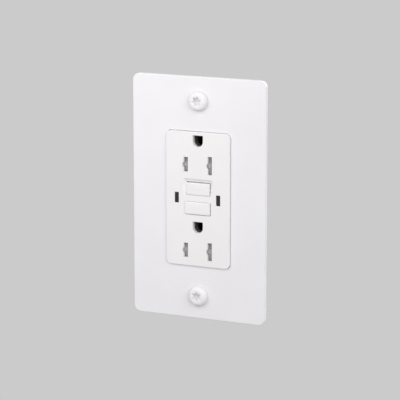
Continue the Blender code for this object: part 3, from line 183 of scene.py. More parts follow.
def seen_directly(wire):
    """1 where a ray comes from the camera, a reflection or glass."""
    kinds = ("Is Camera Ray", "Is Glossy Ray", "Is Transmission Ray")
    camera_ray, glossy_ray, passing_ray = [wire.node("LightPath", out=kind) for kind in kinds]
    return camera_ray | glossy_ray | passing_ray


world = bpy.data.worlds.new("studio_world")
world.use_nodes = True
scene.world = world
world.node_tree.nodes.clear()
sky = Wire(world.node_tree)
backdrop = sky.node("Background", {}, {"Color": BACKGROUND, "Strength": 1.0})
ambient = sky.node("Background", {}, {"Color": AMBIENT, "Strength": AMBIENT_STRENGTH})
shown = sky.node("MixShader", {}, {0: seen_directly(sky), 1: ambient, 2: backdrop})
sky.node("OutputWorld", {}, {"Surface": shown})
scene.view_settings.view_transform = "Standard"

floor_shape = bmesh.new()
bmesh.ops.create_circle(floor_shape, cap_ends=True, radius=FLOOR_RADIUS, segments=FLOOR_STEPS)
floor_mesh = bpy.data.meshes.new("floor")
floor_shape.to_mesh(floor_mesh)
floor_shape.free()
floor = bpy.data.objects.new("floor", floor_mesh)
floor.location.z = FLOOR_Z
scene.collection.objects.link(floor)
paper = bpy.data.materials.new("floor_paper")
paper.use_nodes = True
paper.node_tree.nodes.clear()
sheet = Wire(paper.node_tree)
spot = sheet.node("TexCoord", out="Object")
from_middle = sheet.node("VectorMath", {"operation": "LENGTH"}, {0: spot}, "Value")
rim = from_middle.between(0.3 * FLOOR_RADIUS, 0.97 * FLOOR_RADIUS)
matt = sheet.node("BsdfDiffuse", {}, {"Color": FLOOR_COLOUR})
glow = sheet.node("Emission", {}, {"Color": BACKGROUND, "Strength": 1.0})
faded = sheet.node("MixShader", {}, {0: rim, 1: matt, 2: glow})
sheet.node("OutputMaterial", {}, {"Surface": faded})
floor_mesh.materials.append(paper)
print("background level:", BACKGROUND[0], "floor at", FLOOR_Z)

# %% [markdown]
# ## Lamps
# The soft shadows in the photograph fall to the lower left, so a large key lamp stands at the
# upper right. The plate also fades slowly from its upper left corner to its lower right one, and
# only a lamp close by can do that: a small one near that corner. A third lamp shows the back when
# the camera goes round. The levels add up to about 1, so that a colour renders as it is written.

# %% Lamps
LAMPS = {
    "key_lamp": ((0.90, -0.90, 0.68), 1.20, 11.0),
    "near_lamp": ((-0.14, -0.27, 0.18), 0.24, 0.53),
    "back_lamp": ((0.50, 1.10, 0.60), 0.80, 12.0),
}
for name, (place, size, watts) in LAMPS.items():
    lamp = bpy.data.lights.new(name, "AREA")
    lamp.size, lamp.energy = size, watts
    holder = bpy.data.objects.new(name, lamp)
    holder.location = place
    holder.rotation_euler = (-Vector(place)).to_track_quat("-Z", "Y").to_euler()
    scene.collection.objects.link(holder)
    print(name, watts, "W")

# %% [markdown]
# ## Finishes
# Each finish is a recipe: a function of the position on the piece that gives the sockets of the
# Principled shader. Moulded plastic has a slow drift of colour from the flow of the melt, and the
# fine spark-eroded grain of its mould. Paint has the long soft ripple that is called orange peel.
# Metal has streaks from rolling or drawing, and dull clouds where the plating is thinner.

# %% Recipes for finishes
def finish(name, recipe):
    """A material from a recipe that turns a position into sockets of the Principled shader."""
    made = bpy.data.materials.new(name)
    made.use_nodes = True
    shader = made.node_tree.nodes["Principled BSDF"]
    place = Wire(made.node_tree).node("TexCoord", out="Object")
    for socket, value in recipe(place).items():
        if isinstance(value, Wire):
            made.node_tree.links.new(value.socket, shader.inputs[socket])
        else:
            shader.inputs[socket].default_value = value
    return made


def moulded(shade, colour, gloss, grain=0.18 * MM, relief=0.012 * MM):
    """Moulded plastic between two close shades."""

    def recipe(place):
        drift = place.noise(14 * MM).between(0.3, 0.7)
        grains = place.noise(grain, 3.0)
        return {
            "Base Color": drift.blend(shade, colour),
            "Roughness": gloss + 0.12 * grains,
            "Normal": grains.bump(0.35, relief),
        }

    return recipe


def painted(shade, colour, gloss):
    """Stove enamel on metal: a long ripple under a fine one."""

    def recipe(place):
        drift = place.noise(22 * MM).between(0.3, 0.7)
        peel = place.noise(1.1 * MM, 1.0)
        dust = place.noise(0.25 * MM, 2.0)
        return {
            "Base Color": drift.blend(shade, colour),
            "Roughness": gloss + 0.10 * dust,
            "Normal": (peel + 0.25 * dust).bump(0.30, 0.015 * MM),
        }

    return recipe


def rolled(dark, light, gloss, streak=(1.0, 1.0, 0.06)):
    """Bright metal with streaks along its rolling direction and duller clouds."""

    def recipe(place):
        streaks = place.stretched(*streak).noise(0.12 * MM, 3.0)
        clouds = place.noise(5 * MM, 3.0).between(0.35, 0.75)
        return {
            "Base Color": (0.6 * clouds + 0.4 * streaks).blend(light, dark),
            "Metallic": 1.0,
            "Roughness": gloss + 0.16 * clouds + 0.10 * streaks,
            "Normal": streaks.bump(0.25, 0.008 * MM),
        }

    return recipe


def smoked(place):
    """Dark tinted light pipe with a polished front."""
    cloud = place.noise(0.9 * MM)
    return {
        "Base Color": cloud.blend(rgb(0.010, 0.009, 0.009), rgb(0.022, 0.020, 0.020)),
        "Roughness": 0.16 + 0.10 * place.noise(0.2 * MM),
        "Coat Weight": 0.15,
    }


def pressed_fibre(place):
    """Pressed fibre board with lengthwise strands."""
    strands = place.stretched(1.0, 1.0, 0.12).noise(0.10 * MM, 4.0)
    return {
        "Base Color": strands.blend(rgb(0.30, 0.20, 0.11), rgb(0.62, 0.46, 0.27)),
        "Roughness": 0.75 + 0.2 * strands,
        "Normal": strands.bump(0.6, 0.03 * MM),
    }


def printed_board(place):
    """Green lacquer over copper tracks."""
    cells = {"Vector": place, "Scale": 1.0 / (2.6 * MM)}
    edge = place.node("TexVoronoi", {"feature": "DISTANCE_TO_EDGE"}, cells, "Distance")
    track = edge.between(0.10, 0.14)
    weave = place.noise(0.3 * MM)
    return {
        "Base Color": track.blend(rgb(0.07, 0.30, 0.12), rgb(0.02, 0.14, 0.06)),
        "Roughness": 0.32 + 0.15 * weave,
        "Normal": (0.9 - 0.6 * track + 0.1 * weave).bump(0.4, 0.03 * MM),
    }


def wound_wire(place):
    """Close turns of enamelled copper wire, one above the other. The colour darkens into the grooves between turns
    as painted shade.
    """
    turns = {"Vector": place, "Scale": 1.0 / (2.2 * MM), "Distortion": 0.3}
    ridge = place.node("TexWave", {"bands_direction": "Z"}, turns, "Fac")
    return {
        "Base Color": ridge.blend(rgb(0.28, 0.09, 0.03), rgb(0.72, 0.30, 0.12)),
        "Metallic": 0.9,
        "Roughness": 0.42 - 0.14 * ridge,
        "Normal": ridge.bump(0.8, 0.06 * MM),
    }


WHITE_PAINT = finish(
    "white_enamel", painted(rgb(0.855, 0.840, 0.862), rgb(0.872, 0.857, 0.880), 0.40)
)
WHITE_PLASTIC = finish(
    "white_moulding", moulded(rgb(0.872, 0.856, 0.862), rgb(0.888, 0.872, 0.878), 0.38)
)
# Partly painted shade: the shutters' grey is set dark to stand for the shade deep in the blade slots.
SHUTTER_SHADED = finish("shaded_shutter_moulding", moulded(rgb(0.48, 0.48, 0.49), rgb(0.53, 0.53, 0.54), 0.45))
LENS = finish("smoked_lens", smoked)
GREY = finish("grey_moulding", moulded(rgb(0.36, 0.37, 0.39), rgb(0.41, 0.42, 0.44), 0.46))
# Painted shade: a dark slate that stands for the deep shade inside the ground holes.
HOLE_SHADE = finish("painted_hole_shade", moulded(rgb(0.11, 0.11, 0.115), rgb(0.14, 0.14, 0.145), 0.50))
BLACK = finish("black_moulding", moulded(rgb(0.035, 0.035, 0.038), rgb(0.055, 0.055, 0.06), 0.45))
ZINC = finish("zinc_plate", rolled(rgb(0.50, 0.50, 0.47), rgb(0.68, 0.68, 0.66), 0.28))
SPRING = finish("spring_wire", rolled(rgb(0.42, 0.42, 0.43), rgb(0.60, 0.60, 0.61), 0.22))
BRASS = finish("bright_brass", rolled(rgb(0.60, 0.42, 0.17), rgb(0.82, 0.63, 0.30), 0.24))
# Painted shade: brass darkened almost to black for the ground contacts deep in their holes.
CONTACT_SHADE = finish("painted_contact_shade", rolled(rgb(0.045, 0.034, 0.025), rgb(0.10, 0.075, 0.05), 0.45))
NICKEL = finish("nickel_plate", rolled(rgb(0.56, 0.54, 0.50), rgb(0.76, 0.74, 0.70), 0.22))
GREEN = finish("green_plate", rolled(rgb(0.03, 0.20, 0.07), rgb(0.09, 0.38, 0.15), 0.30))
FIBRE = finish("pressed_fibre", pressed_fibre)
BOARD = finish("green_board", printed_board)
COPPER = finish("wound_copper", wound_wire)
BLUE = finish("blue_epoxy", moulded(rgb(0.04, 0.11, 0.34), rgb(0.07, 0.18, 0.46), 0.28))
OCHRE = finish("ochre_epoxy", moulded(rgb(0.48, 0.27, 0.05), rgb(0.62, 0.39, 0.09), 0.32))
LAMP = finish("clear_epoxy", moulded(rgb(0.62, 0.72, 0.62), rgb(0.74, 0.82, 0.74), 0.10))
print("finishes:", len([m for m in bpy.data.materials if m.use_nodes]))

# %% [markdown]
# ## Outlines
# Nearly every piece of an outlet is flat stock or a moulding with straight sides, so a piece
# starts as an outline: a list of (x, z) points, counter-clockwise as seen from the front.
# `inset` moves an outline inwards. A row of such copies at changing depth is a rounded edge, and
# it keeps the faces in even strips, which a Bevel modifier on a pierced face would not.

# %% Outlines
def swing(centre, radius, start, end, steps):
    """Points on an arc, from one angle to another in degrees."""
    angles = [math.radians(start + (end - start) * i / steps) for i in range(steps + 1)]
    return [(centre[0] + radius * math.cos(a), centre[1] + radius * math.sin(a)) for a in angles]


def round_hole(centre, radius, steps=40):
    return swing(centre, radius, 0.0, 360.0, steps)[:-1]


def softened(corners, radius, steps=5):
    """An outline whose corners are drawn round, each from a radius before it to one after."""
    points = []
    for i, corner in enumerate(corners):
        here = Vector(corner)
        before, after = Vector(corners[i - 1]) - here, Vector(corners[(i + 1) % len(corners)]) - here
        a, b = here + before.normalized() * radius, here + after.normalized() * radius
        for k in range(steps + 1):
            t = k / steps
            points.append(tuple(a * (1 - t) ** 2 + here * 2 * t * (1 - t) + b * t**2))
    return points


def rounded(centre, size, radius, steps=6):
    """A rectangle with true quarter-circle corners."""
    x, z = size[0] / 2 - radius, size[1] / 2 - radius
    points = []
    for sx, sz, start in ((1, -1, -90.0), (1, 1, 0.0), (-1, 1, 90.0), (-1, -1, 180.0)):
        middle = (centre[0] + sx * x, centre[1] + sz * z)
        points += swing(middle, radius, start, start + 90.0, steps)
    return points


def inset(outline, distance):
    """The outline moved inwards by a distance, or outwards by a negative one."""
    moved = []
    for i, point in enumerate(outline):
        here, before = Vector(point), Vector(outline[i - 1])
        after = Vector(outline[(i + 1) % len(outline)])
        first, second = (here - before).normalized(), (after - here).normalized()
        normals = Vector((-first.y, first.x)) + Vector((-second.y, second.x))
        moved.append(tuple(here + normals * (2 * distance / normals.length_squared)))
    return moved


print("a rounded square has", len(rounded((0, 0), (1, 1), 0.1)), "points")

# %% [markdown]
# ## Solids from rings
# A ring is an outline at a depth. Walls join rings of equal length, and caps fill the flat area
# between them, holes included. `place` then turns the solid into a piece: it gets its finish,
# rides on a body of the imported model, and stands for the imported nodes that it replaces.

# %% Solids
EDGE_STEPS = 4
SHARP_ANGLE = math.radians(38.0)


class Solid:
    def __init__(self):
        self.shape = bmesh.new()

    def ring(self, outline, depth):
        return [self.shape.verts.new((x, depth, z)) for x, z in outline]

    def wall(self, rings):
        for near, far in zip(rings, rings[1:]):
            for i in range(max(len(near), len(far))):
                corners = [near[i - 1], near[i], far[i], far[i - 1]] if len(near) == len(far) else (
                    [near[0], far[i - 1], far[i]] if len(near) == 1 else [near[i - 1], near[i], far[0]]
                )
                self.shape.faces.new(corners)
        return rings[0], rings[-1]

    def cap(self, *rings):
        corners = [corner for ring in rings for corner in ring]
        flat = [[Vector((corner.co.x, corner.co.z, 0.0)) for corner in ring] for ring in rings]
        for triangle in tessellate_polygon(flat):
            self.shape.faces.new([corners[i] for i in triangle])

    def edge(self, outline, depth, radius, inwards, forward=1.0):
        """Rings of a rounded edge, from the flat face at a depth to the side wall behind it."""
        rings = []
        for k in range(EDGE_STEPS + 1):
            turn = math.pi / 2 * (1 - k / EDGE_STEPS)
            moved = inset(outline, inwards * radius * (1 - math.cos(turn)))
            rings.append(self.ring(moved, depth + forward * radius * (1 - math.sin(turn))))
        return rings

    def flat(self, outlines, front, back, rounding, back_rounding=None):
        """Flat stock with holes. Each outline has its own edge rounding."""
        fronts, backs = [], []
        for number, outline in enumerate(outlines):
            inwards = -1.0 if number else 1.0
            rings = self.edge(outline, front, rounding[number], inwards)
            rings += self.edge(outline, back, (back_rounding or rounding)[number], inwards, -1.0)[::-1]
            first, last = self.wall(rings)
            fronts.append(first)
            backs.append(last)
        self.cap(*fronts)
        self.cap(*backs)
        return self

    def turned(self, profile, steps=40):
        """Rings about the middle line: (radius, height) pairs, where height is towards the front.
        A radius is a number, or a function of the angle."""
        rings = []
        for radius, height in profile:
            if radius == 0.0:
                rings.append(self.ring([(0.0, 0.0)], -height))
                continue
            angles = [2 * math.pi * i / steps for i in range(steps)]
            reach = [radius(a) if callable(radius) else radius for a in angles]
            outline = [(r * math.cos(a), r * math.sin(a)) for r, a in zip(reach, angles)]
            rings.append(self.ring(outline, -height))
        self.wall(rings)
        return self


def place(solid, name, material, body, slot, nodes=(), at=(0.0, 0.0, 0.0), facing=(0.0, -1.0, 0.0)):
    """Makes a piece of a solid, with its front turned to a direction."""
    shape = solid.shape
    bmesh.ops.recalc_face_normals(shape, faces=shape.faces)
    mesh = bpy.data.meshes.new(name)
    open_edges = len([edge for edge in shape.edges if not edge.is_manifold])
    shape.to_mesh(mesh)
    shape.free()
    piece = bpy.data.objects.new(name, mesh)
    scene.collection.objects.link(piece)
    turn = Vector((0.0, -1.0, 0.0)).rotation_difference(Vector(facing))
    piece.matrix_world = Matrix.Translation(at) @ turn.to_matrix().to_4x4()
    mesh.materials.append(material)
    smooth(piece)
    dress(piece, body, nodes)
    print(name, len(mesh.polygons), "faces", open_edges, "open edges")
    return piece


def smooth(piece):
    """Smooth shading with sharp creases, and flat faces that stay flat up to their edges."""
    piece.data.shade_smooth()
    piece.data.set_sharp_from_angle(angle=SHARP_ANGLE)
    even = piece.modifiers.new("Even shading", "WEIGHTED_NORMAL")
    even.keep_sharp = True


def dress(piece, body, nodes):
    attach(piece, body)
    if nodes:
        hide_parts(*nodes)


def carve(piece, tool):
    """Cuts one piece with another, keeps the result and removes the tool."""
    evenness = piece.modifiers["Even shading"]
    evenness.show_viewport = False
    knife = piece.modifiers.new("Cut", "BOOLEAN")
    knife.operation, knife.solver, knife.object = "DIFFERENCE", "EXACT", tool
    bpy.context.view_layer.update()
    graph = bpy.context.evaluated_depsgraph_get()
    result = bpy.data.meshes.new_from_object(piece.evaluated_get(graph))
    result.name = piece.data.name
    piece.modifiers.remove(knife)
    piece.data = result
    evenness.show_viewport = True
    bpy.data.objects.remove(tool)
    result.shade_smooth()
    result.set_sharp_from_angle(angle=SHARP_ANGLE)


def cutter(solid, at=(0.0, 0.0, 0.0), facing=(0.0, -1.0, 0.0)):
    """A shape that only exists to be cut away."""
    bmesh.ops.recalc_face_normals(solid.shape, faces=solid.shape.faces)
    mesh = bpy.data.meshes.new("cutter")
    solid.shape.to_mesh(mesh)
    solid.shape.free()
    tool = bpy.data.objects.new("cutter", mesh)
    scene.collection.objects.link(tool)
    turn = Vector((0.0, -1.0, 0.0)).rotation_difference(Vector(facing))
    tool.matrix_world = Matrix.Translation(at) @ turn.to_matrix().to_4x4()
    return tool


print("ring solids ready")

# %% [markdown]
# ## Wall plate
# On the real object this is pressed or moulded flat stock with a soft front edge, one window
# for the device and two screw holes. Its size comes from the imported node.

# %% Wall plate
def extent(node):
    low, high = [Vector(corner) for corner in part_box(node)]
    return low, high, high - low


plate_low, plate_high, plate_size = extent("wall_plate")
PLATE_CORNER, PLATE_EDGE = 3.5 * MM, 0.45 * MM
WINDOW, WINDOW_CORNER, WINDOW_EDGE = (33.8 * MM, 66.8 * MM), 2.6 * MM, 0.12 * MM
SCREW_Z, SCREW_HOLE, HOLE_EDGE = 48.4 * MM, 2.1 * MM, 0.1 * MM
plate_outlines = [
    rounded((0.0, 0.0), (plate_size.x, plate_size.z), PLATE_CORNER, 10),
    rounded((0.0, 0.0), WINDOW, WINDOW_CORNER, 8),
    round_hole((0.0, SCREW_Z), SCREW_HOLE),
    round_hole((0.0, -SCREW_Z), SCREW_HOLE),
]
place(
    Solid().flat(
        plate_outlines,
        plate_low.y,
        plate_high.y,
        [PLATE_EDGE, WINDOW_EDGE, HOLE_EDGE, HOLE_EDGE],
        [HOLE_EDGE] * 4,
    ),
    "enamelled_plate",
    WHITE_PAINT,
    "outlet",
    "white_plate",
    ["wall_plate"],
)

# %% [markdown]
# ## Plate screws
# Two white screws with tall round-edged heads and a six-lobed recess hold the plate. A turned
# piece is a row of rings, and a ring's radius may change with the angle: that gives the recess
# its lobes and the shank its thread without any cutting.

# %% Plate screws
HEAD_ROUND, HEAD_CREASE = 2.1 * MM, 78.0
LOBE_MEAN, LOBE_SWING, LOBES = 1.95 * MM, 0.40 * MM, 6
LOBE_TURN = {"upper": math.radians(14.0), "lower": math.radians(30.0)}
RECESS_DEPTH, RECESS_EDGE = 2.0 * MM, 0.12 * MM
PLATE_SHANK, PLATE_PITCH = 1.65 * MM, 0.79 * MM
THREAD_SHARE, THREAD_STEPS = 0.22, 6


def thread(radius, pitch, top, bottom):
    """Rings of a screw thread between two heights, whose crest is the full radius."""
    rings = []
    count = max(2, round((top - bottom) / pitch * THREAD_STEPS))
    for k in range(count + 1):
        height = top + (bottom - top) * k / count

        def reach(angle, height=height):
            turn = (height / pitch + angle / (2 * math.pi)) % 1.0
            return radius * (1.0 - THREAD_SHARE * abs(2.0 * turn - 1.0))

        rings.append((reach, height))
    return rings


def head_edge(radius, height, rounding, steps=7, start=90.0):
    """The rounded shoulder of a screw head, from its flat front to its side. A start below a
    right angle leaves a crease round the front."""
    middle = (radius - rounding, height - rounding * math.sin(math.radians(start)))
    return swing(middle, rounding, start, 0.0, steps)


def lobed_recess(height, turn):
    """A six-lobed recess, from its floor up to its softened mouth."""

    def lobes(share, spare=0.0):
        return lambda a: share * (LOBE_MEAN + LOBE_SWING * math.cos(LOBES * (a - turn))) + spare

    return [
        (0.0, height - RECESS_DEPTH - 0.4 * MM),
        (lobes(0.90), height - RECESS_DEPTH),
        (lobes(1.0), height - RECESS_EDGE),
        (lobes(1.0, 0.3 * RECESS_EDGE), height - 0.3 * RECESS_EDGE),
        (lobes(1.0, RECESS_EDGE), height),
    ]


for side in ("upper", "lower"):
    node = f"plate_screw_{side}"
    low, high, size = extent(node)
    seat = plate_low.y - 0.15 * MM
    head_height, head_radius = seat - low.y, size.x / 2
    profile = lobed_recess(head_height, LOBE_TURN[side])
    profile += head_edge(head_radius, head_height, HEAD_ROUND, start=HEAD_CREASE)
    profile += [(head_radius, 0.0), (PLATE_SHANK, 0.0)]
    profile += thread(PLATE_SHANK, PLATE_PITCH, -0.4 * MM, seat - high.y + 0.6 * MM)
    profile += [(0.6 * PLATE_SHANK, seat - high.y), (0.0, seat - high.y)]
    place(
        Solid().turned(profile, 72),
        f"{side}_plate_fixing",
        WHITE_PAINT,
        node,
        "white_plate",
        [node],
        at=(0.0, seat, (low.z + high.z) / 2),
    )

# %% [markdown]
# ## Front cover
# The moulded face of the device stands a millimetre proud of the plate. Behind it are a flange
# that holds it under the plate and a hollow for the shutters. Each receptacle has a ground hole
# with a tube behind it, and two blade slots with a shallow notch on the left.

# %% Openings of the cover
cover_low, cover_high, cover_size = extent("front_cover")
GROUND_Z = {"upper": 28.7 * MM, "lower": -14.0 * MM}
SLOT_DROP, BLADE_X, SLOT_WIDTH = 11.7 * MM, 6.35 * MM, 2.2 * MM
SLOT_HEIGHT = {-1.0: 7.2 * MM, 1.0: 9.0 * MM}
NOTCH_CHORD, NOTCH_DEPTH, NOTCH_DROP = 3.1 * MM, 0.75 * MM, 0.25 * MM
PIN_HOLE, PIN_CORNER = (5.3 * MM, 5.6 * MM), 0.3 * MM


def pin_hole(height):
    """A ground hole: flat at the top and half round at the bottom."""
    half, top = PIN_HOLE[0] / 2, height + PIN_HOLE[1] / 2
    middle = (0.0, height - PIN_HOLE[1] / 2 + half)
    corners = swing((half - PIN_CORNER, top - PIN_CORNER), PIN_CORNER, 0.0, 90.0, 4)
    corners += swing((PIN_CORNER - half, top - PIN_CORNER), PIN_CORNER, 90.0, 180.0, 4)
    return corners + swing(middle, half, 180.0, 360.0, 24)


def blade_slot(x, height, tall):
    """A blade slot with a notch in its left side."""
    left, right = x - SLOT_WIDTH / 2, x + SLOT_WIDTH / 2
    radius = (NOTCH_CHORD**2 / 4 + NOTCH_DEPTH**2) / (2 * NOTCH_DEPTH)
    lean = math.degrees(math.asin(NOTCH_CHORD / 2 / radius))
    middle = (left - NOTCH_DEPTH + radius, height - NOTCH_DROP)
    notch = swing(middle, radius, 180.0 - lean, 180.0 + lean, 10)
    box = [(right, height - tall / 2), (right, height + tall / 2), (left, height + tall / 2)]
    return box + notch + [(left, height - tall / 2)]


openings = {"pin": [], "slot": []}
for ground in GROUND_Z.values():
    openings["pin"].append(pin_hole(ground))
    for pole, tall in SLOT_HEIGHT.items():
        openings["slot"].append(blade_slot(pole * BLADE_X, ground - SLOT_DROP, tall))
print({kind: len(loops) for kind, loops in openings.items()})

# %% [markdown]
# The two buttons and the two light windows are plain rectangles. Every opening has a small
# rounding at the front, and the face itself has a wider one, which catches the light.

# %% Cover
TEST_Z, RESET_Z = 5.1 * MM, -4.4 * MM
TEST_SIZE, RESET_SIZE = (12.4 * MM, 6.0 * MM), (13.4 * MM, 6.1 * MM)
BUTTON_CORNER, BUTTON_GAP = 0.3 * MM, {"test": 0.33 * MM, "reset": 0.20 * MM}
BUTTON_PLAY = {"test": (0.18 * MM, 0.20 * MM), "reset": (0.15 * MM, -0.07 * MM)}
BUTTON_X = {"test": 0.0, "reset": -0.1 * MM}
BUTTON_EDGE, BUTTON_CROWN = {"test": 0.30 * MM, "reset": 0.40 * MM}, 0.08 * MM
BUTTONS = {"test": (TEST_Z, TEST_SIZE), "reset": (RESET_Z, RESET_SIZE)}
LIGHT_X, LIGHT_Z = {-1.0: -11.15 * MM, 1.0: 10.75 * MM}, 0.3 * MM
LIGHT_SIZE, LIGHT_GAP = (1.8 * MM, 4.9 * MM), 0.2 * MM
FACE, FACE_CORNER, FACE_EDGE = (33.5 * MM, 66.5 * MM), 2.5 * MM, 0.22 * MM
FACE_SHIFT = (0.0, -0.04 * MM)
FACE_BACK, FLANGE_FRONT, FLANGE_BACK = -1.7 * MM, 0.6 * MM, 2.1 * MM
HOLLOW, HOLLOW_CORNER = (30.4 * MM, 64.2 * MM), 1.15 * MM
OPENING_EDGE = {"pin": 0.22 * MM, "slot": 0.15 * MM, "button": 0.15 * MM, "light": 0.10 * MM}
TUBE_WALL, TUBE_END, SLEEVE_END = 0.35 * MM, -0.8 * MM, 3.3 * MM


def grown(size, gap):
    return [s + 2 * gap for s in size]


openings["button"] = []
for name, (height, size) in BUTTONS.items():
    gap, (aside, lift) = BUTTON_GAP[name], BUTTON_PLAY[name]
    loop = rounded((BUTTON_X[name] + aside, height + lift), grown(size, gap), BUTTON_CORNER + gap)
    openings["button"].append(loop)
openings["light"] = [
    rounded((x, LIGHT_Z), grown(LIGHT_SIZE, LIGHT_GAP), LIGHT_GAP) for x in LIGHT_X.values()
]
cover = Solid()
front = cover_low.y
face_outline = rounded(FACE_SHIFT, FACE, FACE_CORNER)
flange_outline = rounded((0.0, 0.0), (cover_size.x, cover_size.z), FACE_CORNER)
hollow_outline = rounded((0.0, 0.0), HOLLOW, HOLLOW_CORNER)
rings = cover.edge(face_outline, front, FACE_EDGE, 1.0)
rings += [cover.ring(face_outline, FLANGE_FRONT), cover.ring(flange_outline, FLANGE_FRONT)]
rings += [cover.ring(flange_outline, FLANGE_BACK), cover.ring(hollow_outline, FLANGE_BACK)]
rings += [cover.ring(hollow_outline, FACE_BACK)]
fronts, backs = [[ring] for ring in cover.wall(rings)]
for kind, loops in openings.items():
    for outline in loops:
        rings = cover.edge(outline, front, OPENING_EDGE[kind], -1.0)
        if kind == "pin":
            tube = inset(outline, -TUBE_WALL)
            rings += [cover.ring(outline, TUBE_END), cover.ring(tube, TUBE_END)]
            rings += [cover.ring(tube, FACE_BACK)]
        else:
            rings += [cover.ring(outline, FACE_BACK)]
        first, last = cover.wall(rings)
        fronts.append(first)
        backs.append(last)
cover.cap(*fronts)
cover.cap(*backs)
face = place(cover, "moulded_cover", WHITE_PLASTIC, "outlet", "white_plastic", ["front_cover"])
# Each ground hole goes on in a dark sleeve, whose slate is painted shade for the depth of the hole.
for label, outline in zip(GROUND_Z, openings["pin"]):
    sleeve = Solid().flat([inset(outline, -TUBE_WALL), outline], TUBE_END, SLEEVE_END, [0.05 * MM] * 2)
    place(sleeve, f"{label}_ground_sleeve", HOLE_SHADE, "outlet", "dark_plastic")

# %% [markdown]
# ## The finger scoop
# Above the upper button the face dips, so that a finger finds the button. The dip is steep at
# its top edge and runs out downwards. Its surface is a grid whose depth is a formula, and the
# solid in front of that grid is cut away from the cover.

# %% Scoop
SCOOP_HALF, SCOOP_TOP, SCOOP_TALL = 7.85 * MM, 10.15 * MM, 9.6 * MM
SCOOP_DEPTH, SCOOP_DIP, SCOOP_SIDE, PROUD = 0.85 * MM, 1.8 * MM, 0.8 * MM, 0.05 * MM


def ease(t):
    t = min(max(t, 0.0), 1.0)
    return t * t * (3 - 2 * t)


def scoop_depth(x, drop):
    """How far the scoop goes into the face, at a distance below its top edge."""
    down = 1 - (1 - min(drop / SCOOP_DIP, 1.0)) ** 2
    down *= 1 - ease((drop - SCOOP_DIP) / (SCOOP_TALL - SCOOP_DIP))
    return SCOOP_DEPTH * down * ease((SCOOP_HALF - abs(x)) / SCOOP_SIDE) - PROUD


scoop = bmesh.new()
ACROSS, DOWN = 36, 40
columns = [SCOOP_HALF * (2 * i / ACROSS - 1) for i in range(ACROSS + 1)]
drops = [SCOOP_TALL * (k / DOWN) ** 1.6 for k in range(DOWN + 1)]
layers = []
for forward in (False, True):
    layer = []
    for drop in drops:
        row = []
        for x in columns:
            depth = front - 1.0 * MM if forward else front + scoop_depth(x, drop)
            row.append(scoop.verts.new((x, depth, SCOOP_TOP - drop)))
        layer.append(row)
    for upper, lower in zip(layer, layer[1:]):
        for i in range(ACROSS):
            scoop.faces.new((upper[i], upper[i + 1], lower[i + 1], lower[i]))
    layers.append(layer)
back_layer, front_layer = layers
border = [(0, i) for i in range(ACROSS)] + [(k, ACROSS) for k in range(DOWN)]
border += [(DOWN, i) for i in range(ACROSS, 0, -1)] + [(k, 0) for k in range(DOWN, 0, -1)]
for (k, i), (m, j) in zip(border, border[1:] + border[:1]):
    scoop.faces.new((back_layer[k][i], back_layer[m][j], front_layer[m][j], front_layer[k][i]))
scoop_solid = Solid()
scoop_solid.shape.free()
scoop_solid.shape = scoop
carve(face, cutter(scoop_solid))
print("cover after the scoop:", len(face.data.polygons), "faces")

# %% [markdown]
# ## Buttons and light windows
# A button is a cap with a soft crown, a rim behind the face that keeps it from falling out, and
# a stem that goes to the works. The light windows are made the same way, from dark tinted stock.

# %% Caps
CAP_RIM_FRONT, CAP_RIM_BACK = -1.0 * MM, -0.4 * MM


def cap_solid(centre, size, corner, front, edge, crown, rim, back):
    """A cap whose front rises slightly to its middle, with a retaining rim behind it."""
    solid = Solid()
    outline = rounded(centre, size, corner)
    reach = min(size) / 2
    rings = []
    for share in (0.96, 0.8, 0.6, 0.4, 0.25):
        hollow = crown * share_squared(1 - share)
        rings.append(solid.ring(scaled_in(outline, centre, size, share * reach), front + hollow))
    rings += solid.edge(outline, front + crown, edge, 1.0)
    wide = rounded(centre, grown(size, rim), corner)
    rings += [solid.ring(outline, CAP_RIM_FRONT), solid.ring(wide, CAP_RIM_FRONT)]
    rings += [solid.ring(wide, CAP_RIM_BACK)]
    if back > CAP_RIM_BACK:
        rings += [solid.ring(outline, CAP_RIM_BACK), solid.ring(outline, back)]
    first, last = solid.wall(rings)
    solid.cap(first)
    solid.cap(last)
    return solid


def share_squared(share):
    return share * share


def scaled_in(outline, centre, size, distance):
    """The outline drawn towards its middle, as far on every side."""
    sx, sz = 1 - 2 * distance / size[0], 1 - 2 * distance / size[1]
    return [(centre[0] + (x - centre[0]) * sx, centre[1] + (z - centre[1]) * sz) for x, z in outline]


caps = {
    "test": (TEST_Z, TEST_SIZE, 1.4 * MM, 0.0),
    "reset": (RESET_Z, RESET_SIZE, 1.6 * MM, 0.35 * MM),
}
for name, (height, size, stem_radius, collar) in caps.items():
    node = f"{name}_button"
    low, high, _ = extent(node)
    solid = cap_solid(
        (BUTTON_X[name], height), size, BUTTON_CORNER, low.y, BUTTON_EDGE[name], BUTTON_CROWN, 0.7 * MM, CAP_RIM_BACK
    )
    place(solid, f"{name}_cap", WHITE_PLASTIC, node, "white_plastic", [node])
    length = high.y - CAP_RIM_BACK
    stem = [(0.0, 0.0), (stem_radius, 0.0), (stem_radius, 1.2 * MM - length)]
    stem += [(stem_radius + collar, 1.1 * MM - length), (stem_radius + collar, 0.2 * MM - length)]
    stem += [(stem_radius - 0.2 * MM, -length), (0.0, -length)]
    place(
        Solid().turned(stem, 24),
        f"{name}_stem",
        WHITE_PLASTIC,
        node,
        "white_plastic",
        at=(0.0, CAP_RIM_BACK, height),
    )
for side, label in ((-1.0, "left"), (1.0, "right")):
    node = f"status_lens_{label}"
    low, high, _ = extent(node)
    solid = cap_solid(
        (LIGHT_X[side], LIGHT_Z), LIGHT_SIZE, 0.15 * MM, low.y, 0.12 * MM, 0.06 * MM, 0.5 * MM, high.y
    )
    place(solid, f"{label}_light_window", LENS, "outlet", "smoked_lens", [node])

# %% [markdown]
# ## Words on the buttons
# The caps carry their function in low raised letters, white on white, as moulded buttons do.
# Blender's own font is turned into a mesh a few hundredths of a millimetre high.

